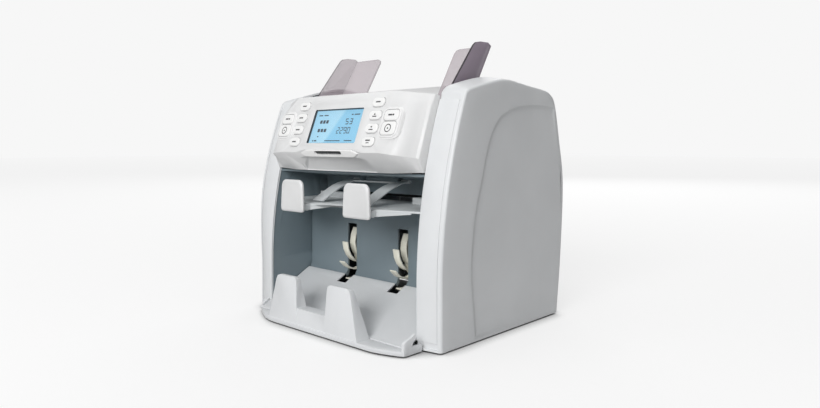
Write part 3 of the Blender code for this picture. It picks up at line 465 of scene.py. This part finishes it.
def rounded(width, height, radius, steps=6):
    """A rectangle round the origin with round corners."""
    outline = []
    for sx, sy, start in ((1, 1, 0), (-1, 1, 90), (-1, -1, 180), (1, -1, 270)):
        for i in range(steps + 1):
            a = math.radians(start + 90 * i / steps)
            x = sx * (width / 2 - radius) + radius * math.cos(a)
            y = sy * (height / 2 - radius) + radius * math.sin(a)
            outline.append((x, y))
    return outline


def piece(name, shape, look, body, nodes=()):
    """Turns a shape in millimetres into a piece that rides on a body and stands for CAD nodes."""
    bmesh.ops.remove_doubles(shape, verts=shape.verts, dist=1e-4)
    bmesh.ops.recalc_face_normals(shape, faces=shape.faces)
    bmesh.ops.transform(shape, matrix=Matrix.Scale(MM, 4), verts=shape.verts)
    mesh = bpy.data.meshes.new(name)
    shape.to_mesh(mesh)
    shape.free()
    mesh.shade_smooth()
    mesh.set_sharp_from_angle(angle=math.radians(SHARP_ANGLE))
    mesh.materials.append(look)
    made = bpy.data.objects.new(name, mesh)
    bpy.context.scene.collection.objects.link(made)
    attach(made, body)
    if nodes:
        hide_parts(*nodes)
    return made


def soften(made, width):
    """Rounds the sharp edges of a CAD node, once its mesh is welded and cleared of flat seams."""
    made.data.shade_smooth()
    weld = made.modifiers.new("weld", "WELD")
    weld.merge_threshold = 1e-6
    flat = made.modifiers.new("flat", "DECIMATE")
    flat.decimate_type = "DISSOLVE"
    flat.angle_limit = math.radians(0.8)
    bevel = made.modifiers.new("edges", "BEVEL")
    bevel.width = width * MM
    bevel.segments = 2
    bevel.limit_method = "ANGLE"
    bevel.angle_limit = math.radians(30.0)
    bevel.harden_normals = True
    bevel.use_clamp_overlap = True


# ---------------------------------------------------------------- side covers


def front_line(z):
    """How far forward a cover's front edge is at a height: upright, then leaning back on a wide arc."""
    return FRONT_Y + max(0.0, z - FRONT_BEND_Z) ** 2 / (2 * FRONT_RADIUS)


def cover_line():
    """The outer edge of a side cover, from the bottom front over the top to the bottom rear."""
    low, high = TRIM_Z
    levels = [FLOOR_LEVEL, low - 0.1, low + 0.1]
    levels += [low + 0.1 + (high - low - 0.2) * i / 40 for i in range(1, 41)]
    levels += [high + 0.1]
    control = [(front_line(z), z) for z in (206, 220)]
    control += [(-47.6, 226.8), (-37.5, 231.0), (-6.0, 238.7), (17.0, 241.3), (50.0, 238.2)]
    control += [(80.0, 235.4), (94.0, 231.5), (104.0, 220.5), (113.0, 182.0), (120.3, 137.0)]
    control += [(115.2, 63.0), (107.0, FLOOR_LEVEL)]
    curve = smooth_through(control, 8)
    front = [(front_line(z), z) for z in levels if z < control[1][1]]
    late = [z for z in levels if z >= control[1][1]]
    rest = [p for p in curve if p[1] > control[1][1] + 0.5 or p[0] > 0.0]
    rest = [p for p in rest if p[1] > high + 0.6 or p[0] > 0.0]
    return front + [point_at(curve, z) for z in late] + rest


def point_at(curve, z):
    """The first point of a rising curve at a height."""
    for (y0, z0), (y1, z1) in zip(curve, curve[1:]):
        if z0 <= z <= z1:
            return (y0 + (y1 - y0) * (z - z0) / (z1 - z0), z)
    return curve[0]


def rim_rise(y):
    """How far the inner rim stands outside the outer edge: fully in front, nothing at the rear."""
    near, far = RIM_FADE
    return BAND_RISE * clamped((far - y) / (far - near))


def flare(y, z):
    """The share of the flare that a point of the outer edge has."""
    low, high = FLARE_LEVELS
    ahead, behind = FLARE_DEPTHS
    up = clamped((z - low) / (high - low))
    near = clamped((behind - y) / (behind - ahead))
    return eased(up) * near


def share_of_rim(x):
    """1 at the inner rim of a cover, 0 at its outer edge."""
    return (HALF_WIDTH - x) / (HALF_WIDTH - HALF_OPENING)


def band(x, inset=0.0):
    """The cover's line at a distance x from the middle plane, less an inset."""
    share = share_of_rim(x)
    edge = cover_line()
    line = []
    for (y, z), (rim_y, rim_z) in zip(edge, shifted(edge, lambda y, z: rim_rise(y))):
        edge_y = y - FLARE_AHEAD * flare(y, z)
        line.append((edge_y + share * (rim_y - edge_y), z + share * (rim_z - z)))

    def less(y, z):
        return -(inset(y, z) if callable(inset) else inset)

    return shifted(line, less)


def seat(y, z):
    """The depth of the seat that the front trim lies in."""
    low, high = TRIM_Z
    return TRIM_SINK if low < z < high and y < 0.0 else 0.0


def on_cover(side, x, line, sunk=lambda i: 0.0):
    """The points of a line of the band, moved out sideways by the flare and in by what is sunk."""
    out = (1 - share_of_rim(min(x, HALF_WIDTH))) * FLARE_OUT
    return [
        (side * (x + out * flare(y, z) - sunk(i)), y, max(z, FLOOR_LEVEL))
        for i, (y, z) in enumerate(line)
    ]


# The crease on the side face, from the bottom front to the top rear, and the middle of what it bounds
SIDE_CREASE = [
    (-35.0, 3.5),
    (-38.0, 30.0),
    (-42.0, 72.0),
    (-39.0, 117.0),
    (-29.0, 150.0),
    (-22.0, 172.0),
    (-12.0, 192.0),
    (3.0, 206.0),
    (27.0, 214.5),
    (52.0, 217.5),
    (80.0, 218.5),
    (101.0, 218.0),
]
SIDE_MIDDLE = (35.0, 105.0)


def resampled(points, count):
    """A line's points again, evenly spaced along it."""
    points = [Vector(p) for p in points]
    ends = [0.0]
    for a, b in zip(points, points[1:]):
        ends.append(ends[-1] + (b - a).length)
    found = []
    for i in range(count):
        want = ends[-1] * i / (count - 1)
        j = max(k for k in range(len(ends)) if ends[k] <= want + 1e-9)
        j = min(j, len(points) - 2)
        t = (want - ends[j]) / (ends[j + 1] - ends[j])
        found.append(tuple(points[j].lerp(points[j + 1], t)))
    return found


def side_cover(side, word):
    """The visible shell of a cover: inner rim, front band, round edge and the creased side face."""
    line = cover_line()
    count = len(line)
    split = next(i for i, (y, z) in enumerate(line) if y > REAR_Y)
    crease = resampled(smooth_through(SIDE_CREASE, 6), split)
    behind = [p for p in shifted(line, -5.0)[split:] if 6.0 < p[1] < 212.0]
    inner = crease + resampled([(101.5, 216.0), *behind, (100.0, 4.5)], count - split)

    def sunk(i):
        """How deep the side face already lies at its edge: nothing in front, fully towards the rear."""
        return SIDE_SINK * eased(clamped((i - split + 10) / 20))

    hollow = HALF_WIDTH - WALL
    rings = [on_cover(side, x, band(x, WALL)) for x in (hollow, HALF_OPENING)]
    for angle in (0.0, 30.0, 60.0, 90.0):
        a = math.radians(angle)
        x = HALF_OPENING + RIM_ROUND * (1 - math.cos(a))
        line = band(x, lambda y, z, a=a: seat(y, z) + RIM_ROUND * (1 - math.sin(a)))
        rings.append(on_cover(side, x, line))
    half_way = (HALF_OPENING + TRIM_X) / 2
    for x, inset in ((half_way, seat), (TRIM_X - 0.05, seat), (TRIM_X + 0.05, 0.0)):
        rings.append(on_cover(side, x, band(x, inset)))
    for step in range(7):
        a = math.radians(90.0 * step / 6)
        x = HALF_WIDTH - EDGE_RADIUS + EDGE_RADIUS * math.sin(a)
        line = band(x, EDGE_RADIUS * (1 - math.cos(a)))
        rings.append(on_cover(side, x, line, lambda i, a=a: sunk(i) * math.sin(a)))

    def face_ring(starts, ends, share, low):
        """A ring of the side face, part of the way from one line to another and sunk by a share."""
        ring = []
        for i, (start, end) in enumerate(zip(starts, ends)):
            at = Vector(start).lerp(Vector(end), share)
            out = FLARE_OUT * flare(at.x, at.y)
            ring.append((side * (HALF_WIDTH + out - max(SIDE_SINK * low, sunk(i))), at.x, at.y))
        return ring

    edge = [(y, z) for _, y, z in rings[-1]]
    for share, low in ((0.25, 0.0), (0.5, 0.0), (0.75, 0.0), (0.93, 0.0), (0.98, 0.05), (1.0, 0.2)):
        rings.append(face_ring(edge, inner, share, low))
    middle = [SIDE_MIDDLE] * count
    for share, low in ((0.012, 0.55), (0.025, 0.85), (0.045, 1.0), (0.12, 1.0), (0.3, 1.0), (0.6, 1.0)):
        rings.append(face_ring(inner, middle, share, low))
    look = LOOKS["casing_white"]
    piece(f"{word}_cover_shell", loft(rings), look, "chassis", [f"{word}_side_cover"])


def front_trim(side, word):
    """The inset strip of the front band, with rounded long edges."""
    low, high = TRIM_Z
    chosen = [i for i, (y, z) in enumerate(cover_line()) if low + 0.3 < z < high - 0.3 and y < 0.0]
    first, last = chosen[0], chosen[-1]
    near, far = HALF_OPENING + 0.05, TRIM_X - 0.4
    rings = []
    for x, drop in (
        (near, 0.5),
        (near + 0.12, 0.2),
        (near + 0.5, 0.0),
        ((near + far) / 2, 0.0),
        (far - 0.5, 0.0),
        (far - 0.12, 0.2),
        (far, 0.5),
    ):
        face = on_cover(side, x, band(x, drop)[first : last + 1])
        back = on_cover(side, x, band(x, TRIM_THICK)[first : last + 1])
        rings.append(face + back[::-1])
    look = LOOKS["casing_white"]
    piece(f"{word}_trim_strip", loft(rings), look, "chassis", [f"{word}_front_trim"])


for side, word in ((-1, "left"), (1, "right")):
    side_cover(side, word)
    front_trim(side, word)


# ---------------------------------------------------------------- keys


def inward(outline, shrink):
    """A rounded outline moved in by a distance."""
    found = []
    for i, (a, b) in enumerate(outline):
        before, after = Vector(outline[i - 1]), Vector(outline[(i + 1) % len(outline)])
        along = (after - before).normalized()
        found.append((a - along.y * shrink, b + along.x * shrink))
    return found


def on_panel(shape):
    """Moves a shape from the panel's own frame to the machine's."""
    bmesh.ops.transform(shape, matrix=panel_matrix(), verts=shape.verts)
    return shape


def key_cap(outline, u, v, face, radius):
    """A key on the panel's frame: a round edge all along its front and a slightly crowned face."""
    rings = [(KEY_BACK, 0.0), (face - radius, 0.0)]
    for step in range(1, 6):
        a = math.radians(90.0 * step / 5)
        rings.append((face - radius + radius * math.sin(a), radius * (1 - math.cos(a))))
    rings.append((face + KEY_CROWN * 0.6, radius + 0.7))
    rings.append((face + KEY_CROWN, radius + 1.4))
    loops = [[(u + a, v + b, w) for a, b in inward(outline, shrink)] for w, shrink in rings]
    return on_panel(loft(loops))


def small_keys():
    """Side, number and place of each small key, from the top down."""
    return [
        (word, row + 1, side * KEY_U, KEY_TOP_V - row * KEY_PITCH)
        for word, side in (("left", -1), ("right", 1))
        for row in range(4)
    ]


def bar(u, v, width, height):
    """A rectangle round a point."""
    corners = ((-1, -1), (1, -1), (1, 1), (-1, 1))
    return [(u + a * width / 2, v + b * height / 2) for a, b in corners]


def triangle(u, v, size, up=1):
    """A triangle that points up, or down when up is -1."""
    base = v - up * size * 0.4
    return [(u - size / 2, base), (u + size / 2, base), (u, v + up * size * 0.5)]


def circle(u, v, radius, steps=28):
    """A many-sided circle round a point."""
    turn = 2 * math.pi / steps
    return [(u + radius * math.cos(i * turn), v + radius * math.sin(i * turn)) for i in range(steps)]


def flat_print(name, outlines, rings, w, look, body):
    """Printed marks: outlines, and rings of (u, v, outer radius, inner radius), on the panel's frame."""
    shape = bmesh.new()
    for outline in outlines:
        low = [shape.verts.new((a, b, w)) for a, b in outline]
        high = [shape.verts.new((a, b, w + PRINT_THICK)) for a, b in outline]
        for i in range(len(low)):
            shape.faces.new((low[i - 1], low[i], high[i], high[i - 1]))
        shape.faces.new(low[::-1])
        shape.faces.new(high)
    for u, v, outside, inside in rings:
        top = w + PRINT_THICK
        loops = []
        for radius, level in ((outside, w), (outside, top), (inside, top), (inside, w)):
            loops.append([shape.verts.new((a, b, level)) for a, b in circle(u, v, radius)])
        walls(shape, in_turn(loops))
    return piece(name, on_panel(shape), look, body)


for word, number, u, v in small_keys():
    node = f"{word}_key_{number}"
    cap = key_cap(rounded(*KEY_SIZE, KEY_RADIUS), u, v, KEY_FACE, KEY_ROUND)
    piece(f"{node}_cap", cap, LOOKS["key_white"], node, [node])
    marks = [bar(u, v, 6.0, 1.3)]
    if word == "right" and number in (2, 3):
        marks = [bar(u, v - 1.5, 5.4, 1.0), triangle(u, v + 0.9, 2.4, 1 if number == 2 else -1)]
    if word == "right" and number == 4:
        marks = [bar(u, v + 1.0, 6.0, 1.3)]
        marks += [bar(u - 0.9, v - 1.4, 1.4, 1.2), bar(u + 1.2, v - 1.4, 2.0, 0.8)]
    flat_print(f"{node}_print", marks, [], KEY_FACE + KEY_CROWN - PRINT_SINK, INK, node)
for word, side in (("left", -1), ("right", 1)):
    for place, (v, height) in PAD_KEYS.items():
        node = f"{word}_pad_{place}_key"
        u = side * PAD_U
        outline = rounded(PAD_KEY_WIDTH, height, PAD_KEY_RADIUS)
        cap = key_cap(outline, u, v, PAD_KEY_FACE, PAD_KEY_ROUND)
        piece(f"{node}_cap", cap, LOOKS["key_white"], node, [node])
        marks, rings = [bar(u - 1.2, v, 4.6, 1.5), bar(u + 2.8, v, 2.0, 1.5)], []
        if place == "lower":
            marks, rings = [triangle(u, v, 2.2)], [(u, v, 4.0, 3.1)]
        flat_print(f"{node}_print", marks, rings, PAD_KEY_FACE + KEY_CROWN - PRINT_SINK, INK, node)


def key_gap_shade_rings():
    """A dark ring in the gap round every key, one each, on the panel's frame: painted shade that stands
    in for the shadow in the gaps.
    """
    places = [(u, v, KEY_SIZE, KEY_RADIUS, 0.0) for _, _, u, v in small_keys()]
    for side in (-1, 1):
        for v, height in PAD_KEYS.values():
            places.append((side * PAD_U, v, (PAD_KEY_WIDTH, height), PAD_KEY_RADIUS, PAD_FACE))
    inside, outside = GAP_SHADE_GROWTH
    low, high = GAP_SHADE_LEVELS
    shape = bmesh.new()
    for u, v, (width, height), radius, level in places:
        loops = []
        for grow, w in ((outside, low), (outside, high), (inside, high), (inside, low)):
            outline = rounded(width + grow, height + grow, radius + grow / 2)
            loops.append([shape.verts.new((u + a, v + b, level + w)) for a, b in outline])
        walls(shape, in_turn(loops))
    piece("key_gap_shade_rings", on_panel(shape), LOOKS["gap_shade"], "chassis")


key_gap_shade_rings()


def panel_depth(u, v):
    """How far the panel's face lies behind its flat middle at a point of the swept-back wing."""
    top, below = (
        WING_SWEEP * clamped((abs(u) - start) / (WING_END - start)) ** power
        for start, power in ((PLATEAU, WING_POWER), (LOW_PLATEAU, LOW_WING_POWER))
    )
    share = clamped((v - SHOULDER_V) / (PANEL_HEIGHT / 2 - SHOULDER_V))
    return (below + (top - below) * share) * math.cos(PANEL_LEAN)


def pad_surround(side, word):
    """The white pad round two keys: a soft rim that runs out on the panel, and two closed wells."""
    outline = rounded(*PAD_SIZE, PAD_RADIUS, 8)
    u = side * PAD_U
    shape = bmesh.new()
    middle = [(u + a, PAD_V + b) for a, b in outline]
    loops = [[(a, b, PAD_BACK) for a, b in middle]]
    loops.append([(a, b, -panel_depth(a, b) - SKIRT_BACK) for a, b in middle])
    for share in (1.0, 0.8, 0.6, 0.4, 0.2, 0.0):
        ring = []
        for i, (a, b) in enumerate(middle):
            before, after = Vector(middle[i - 1]), Vector(middle[(i + 1) % len(middle)])
            along = (after - before).normalized()
            outward = Vector((along.y, -along.x))
            reach = (PAD_SKIRT[0] + PAD_SKIRT[1] * (0.5 + 0.5 * outward.x * side)) * share
            at = Vector((a, b)) + outward * reach
            floor = SKIRT_LIFT - panel_depth(at.x, at.y)
            rise = (PAD_FACE - PAD_ROUND - floor) * eased(1 - share)
            ring.append((at.x, at.y, floor + rise))
        loops.append(ring)
    for step in range(1, 6):
        a = math.radians(90.0 * step / 5)
        w = PAD_FACE - PAD_ROUND * (1 - math.sin(a))
        ring = inward(outline, PAD_ROUND * (1 - math.cos(a)))
        loops.append([(u + p, PAD_V + q, w) for p, q in ring])
    loops = [[shape.verts.new(p) for p in ring] for ring in loops]
    wells = []
    for v, height in PAD_KEYS.values():
        well = rounded(PAD_KEY_WIDTH + WELL_GAP, height + WELL_GAP, WELL_RADIUS, 8)
        well = [(u + a, v + b) for a, b in well]
        wells.append([[shape.verts.new((a, b, w)) for a, b in well] for w in (PAD_FACE, PAD_FLOOR)])
    walls(shape, [*zip(loops, loops[1:]), *wells])
    shape.faces.new(loops[0])
    for _, bottom in wells:
        shape.faces.new(bottom)
    border = []
    for loop in (loops[-1], *(top for top, _ in wells)):
        border += [shape.edges.get((loop[i - 1], loop[i])) for i in range(len(loop))]
    bmesh.ops.triangle_fill(shape, use_beauty=True, use_dissolve=False, edges=border)
    name, node = f"{word}_pad_surround", f"{word}_key_bezel"
    made = piece(name, on_panel(shape), LOOKS["pad_rim"], "chassis", [node])
    made.modifiers.new("normals", "WEIGHTED_NORMAL").keep_sharp = True


for side, word in ((-1, "left"), (1, "right")):
    pad_surround(side, word)


# ---------------------------------------------------------------- lip under the screen


def on_lip(shape):
    """Moves a shape from the frame of the slanted lip, the slot's middle as the origin."""
    across, drop = LIP_BOTTOM[0] - LIP_TOP[0], LIP_TOP[1] - LIP_BOTTOM[1]
    middle = Vector((0.0, LIP_TOP[0] + SLOT_PLACE * across, LIP_TOP[1] - SLOT_PLACE * drop))
    turn_back = Matrix.Rotation(math.atan2(drop, -across), 4, "X")
    bmesh.ops.transform(shape, matrix=Matrix.Translation(middle) @ turn_back, verts=shape.verts)
    return shape


def with_round_corners(points, radius, steps=4):
    """A closed outline whose corners are replaced by short curves."""
    found = []
    for i, corner in enumerate(points):
        corner = Vector(corner)
        before = (Vector(points[i - 1]) - corner).normalized() * radius + corner
        after = (Vector(points[(i + 1) % len(points)]) - corner).normalized() * radius + corner
        for step in range(steps + 1):
            t = step / steps
            found.append(tuple(before.lerp(corner, t).lerp(corner.lerp(after, t), t)))
    return found


def lip_plate():
    """The raised plate round the dark slot, a hexagon with round edges."""
    outline = with_round_corners(LIP_PLATE, LIP_PLATE_CORNER)
    shape = bmesh.new()
    edge = LIP_PLATE_FACE - LIP_PLATE_ROUND
    loops = [[(a, b, w) for a, b in outline] for w in (LIP_PLATE_BACK, edge)]
    for step in range(1, 6):
        a = math.radians(90.0 * step / 5)
        ring = inward(outline, LIP_PLATE_ROUND * (1 - math.cos(a)))
        w = LIP_PLATE_FACE - LIP_PLATE_ROUND * (1 - math.sin(a))
        loops.append([(p, q, w) for p, q in ring])
    slot = rounded(*SLOT_SIZE, SLOT_SIZE[1] / 2 - 0.05, 6)
    well = [[(a, b, w) for a, b in slot] for w in (LIP_PLATE_FACE, LIP_PLATE_BACK)]
    loops = [[shape.verts.new(p) for p in ring] for ring in loops]
    well = [[shape.verts.new(p) for p in ring] for ring in well]
    walls(shape, [*zip(loops, loops[1:]), well])
    for pair in ((loops[-1], well[0]), (loops[0], well[1])):
        border = [shape.edges.get((loop[i - 1], loop[i])) for loop in pair for i in range(len(loop))]
        bmesh.ops.triangle_fill(shape, use_beauty=True, use_dissolve=False, edges=border)
    # The plate takes the paler key plastic so that it shows brighter than the panel: painted light for
    # its brightly lit face
    piece("lip_plate", on_lip(shape), LOOKS["key_white"], "chassis")


lip_plate()


# ---------------------------------------------------------------- display


# The lit segments of each figure, named from the top one clockwise, g in the middle
SEGMENTS = {
    "0": "abcdef",
    "2": "abged",
    "3": "abgcd",
    "5": "afgcd",
    "9": "abcdfg",
}


def digit(figure, u, v, width, height):
    """A seven-segment figure whose lower left corner is at u, v."""
    t = width * 0.2
    half = height / 2
    across, upright = width - 2.1 * t, half - 0.1 * t
    places = {
        "a": bar(u + width / 2, v + height - t / 2, across, t),
        "g": bar(u + width / 2, v + half, across, t),
        "d": bar(u + width / 2, v + t / 2, across, t),
        "b": bar(u + width - t / 2, v + 1.5 * half, t, upright),
        "c": bar(u + width - t / 2, v + 0.5 * half, t, upright),
        "f": bar(u + t / 2, v + 1.5 * half, t, upright),
        "e": bar(u + t / 2, v + 0.5 * half, t, upright),
    }
    return [places[s] for s in SEGMENTS[figure]]


def screen_marks():
    """Two counts on the right and plain bars where a caption, a date or a time would be."""
    left, top = -SCREEN_SIZE[0] / 2, SCREEN_V + SCREEN_SIZE[1] / 2
    marks = []
    counts = (("53", 47.6, 15.7, 4.6, 6.2), ("2290", 38.0, 25.2, 4.0, 6.6))
    for text, start, down, width, height in counts:
        for i, figure in enumerate(text):
            marks += digit(figure, left + start + i * (width + 1.1), top - down, width, height)
    for row, height, spans in (
        (5.4, 1.5, ((4.6, 10.6), (12.6, 19.0), (54.0, 56.4), (58.0, 66.0))),
        (12.4, 4.4, ((8.8, 12.4), (13.6, 17.2), (18.4, 22.0))),
        (21.6, 4.4, ((8.8, 12.4), (13.6, 17.2), (18.4, 22.0))),
        (28.2, 1.5, ((10.6, 12.6),)),
        (32.6, 1.7, ((4.6, 6.4), (7.4, 11.4), (24.0, 47.0), (53.0, 64.0))),
    ):
        for a, b in spans:
            tall = height * (0.55 if b - a > 8 else 0.8)
            marks.append(bar(left + (a + b) / 2, top - row, b - a, tall))
    return marks


def screen_liner():
    """The dark liner in the gap round the display pane, a rectangular frame."""
    width, height = SCREEN_SIZE
    outer, inner = (
        rounded(width - inset, height - inset, radius, 3)
        for inset, radius in zip(LINER_INSETS, LINER_RADII)
    )
    low, high = LINER_LEVELS
    loops = []
    for outline, w in ((outer, low), (outer, high), (inner, high), (inner, low), (outer, low)):
        loops.append([(a, SCREEN_V + b, w) for a, b in outline])
    piece("screen_liner", on_panel(loft(loops, caps=False)), LOOKS["black_plastic"], "chassis")


flat_print("screen_marks", screen_marks(), [], SCREEN_PRINT, DIGIT, "chassis")
screen_liner()


# ---------------------------------------------------------------- CAD nodes that stay

# How far the edges of a node are rounded, where it isn't the usual width
USUAL_BEVEL = 0.25
BEVELS = {
    "control_panel": 0.8,
    "front_tray": 1.0,
    "left_reject_stop": 1.0,
    "right_reject_stop": 1.0,
    "hopper": 0.5,
    "rear_door": 0.8,
    "rear_panel": 0.4,
    "left_bill_guide": 0.5,
    "right_bill_guide": 0.5,
    "stacker_floor": 0.6,
    "power_switch": 0.6,
}
SLOTS = {s["node"]: s["material_slot"] for s in frame["record"]["subparts"]}
for name, made in frame["nodes"].items():
    made.data.materials.clear()
    made.data.materials.append(PAINTED_LIT_GUIDE if name == "left_bill_guide" else LOOKS[SLOTS[name]])
    if not made.hide_render:
        soften(made, BEVELS.get(name, USUAL_BEVEL))


# ---------------------------------------------------------------- stage


FLOOR_LIT = (0.50, 0.50, 0.50)  # what the floor throws back on the machine
FLOOR_SEEN = (0.35, 0.35, 0.35)  # and how pale it is in the picture
FLOOR_GLOW = (0.61, 0.86)  # at the machine and far away
CONTACT_REACH = 0.022  # how far from the machine the contact shadow starts, in metres
CONTACT_DARK = (0.12, 0.12, 0.12)


def seen_only(tree, light, seen):
    """One value for what the backdrop lights with and another for how bright the camera sees it."""
    path = tree.nodes.new("ShaderNodeLightPath")
    level = tree.nodes.new("ShaderNodeMapRange")
    level.inputs["To Min"].default_value = light
    level.inputs["To Max"].default_value = seen
    tree.links.new(path.outputs["Is Camera Ray"], level.inputs["Value"])
    return level.outputs["Result"]


def floor_look():
    """A pale floor with a soft contact shadow, and a glow that grows away from the machine."""
    m = Nodes("studio_floor")
    hidden = m.add("ShaderNodeAmbientOcclusion", samples=12)
    hidden.inputs["Distance"].default_value = CONTACT_REACH
    open_share = m.spread(hidden.outputs["AO"], 0.0, 1.0, 0.1, 0.85)
    pale = m.mix(open_share, shade(CONTACT_DARK, 1.0), shade(FLOOR_SEEN, 1.0))
    only_seen = seen_only(m.tree, 0.0, 1.0)
    m.put(m.shader.inputs["Base Color"], m.mix(only_seen, shade(FLOOR_LIT, 1.0), pale))
    m.shader.inputs["Roughness"].default_value = 0.9
    m.shader.inputs["Specular IOR Level"].default_value = 0.1
    m.shader.inputs["Emission Color"].default_value = (1.0, 1.0, 1.0, 1.0)
    far = m.add("ShaderNodeVectorMath", operation="LENGTH")
    m.put(far.inputs[0], m.coords)
    distance = far.outputs["Value"]
    share = m.combine("DIVIDE", distance, m.combine("ADD", distance, 1.0))
    glow = m.spread(m.combine("POWER", share, 2.0), *FLOOR_GLOW)
    glow = m.combine("MULTIPLY", m.combine("MULTIPLY", glow, only_seen), open_share)
    m.put(m.shader.inputs["Emission Strength"], glow)
    return m.material


def stage():
    """The plain floor under the machine."""
    floor_mesh = bpy.data.meshes.new("floor")
    shape = bmesh.new()
    bmesh.ops.create_grid(shape, x_segments=1, y_segments=1, size=9.0)
    shape.to_mesh(floor_mesh)
    shape.free()
    floor_mesh.materials.append(floor_look())
    floor = bpy.data.objects.new("floor", floor_mesh)
    bpy.context.scene.collection.objects.link(floor)


def lamp(name, place, target, size, power):
    """A rectangular lamp aimed at a point, in metres and watts."""
    data = bpy.data.lights.new(name, "AREA")
    data.shape = "RECTANGLE"
    data.size, data.size_y = size
    data.energy = power
    made = bpy.data.objects.new(name, data)
    made.location = place
    made.rotation_euler = (Vector(target) - Vector(place)).to_track_quat("-Z", "Y").to_euler()
    bpy.context.scene.collection.objects.link(made)


def world(light, seen):
    """A white studio: what it lights with, and how bright the camera sees it."""
    made = bpy.data.worlds.new("studio")
    made.use_nodes = True
    tree = made.node_tree
    shader = tree.nodes["Background"]
    shader.inputs["Color"].default_value = (1.0, 1.0, 1.0, 1.0)
    tree.links.new(seen_only(tree, light, seen), shader.inputs["Strength"])
    bpy.context.scene.world = made


stage()
world(light=0.27, seen=0.93)
lamp("key", (0.75, -2.3, 1.15), (0.0, 0.0, 0.12), (1.5, 1.1), 46.0)
lamp("top", (0.0, -0.3, 2.6), (0.0, 0.0, 0.1), (2.6, 2.6), 23.0)
lamp("rear", (-1.2, 2.0, 1.4), (0.0, 0.0, 0.1), (2.2, 1.4), 14.0)
bpy.context.scene.view_settings.view_transform = "Standard"

camera = bpy.data.objects.new("camera", bpy.data.cameras.new("camera"))
camera.location = (0.4972, -0.5101, 0.180)
camera.rotation_euler = (math.radians(90.0), 0.0, math.radians(43.2))
camera.data.lens = 29.02
camera.data.sensor_width = 36.0
camera.data.shift_y = -0.0735
camera.data.clip_start = 0.01
bpy.context.scene.collection.objects.link(camera)
bpy.context.scene.camera = camera
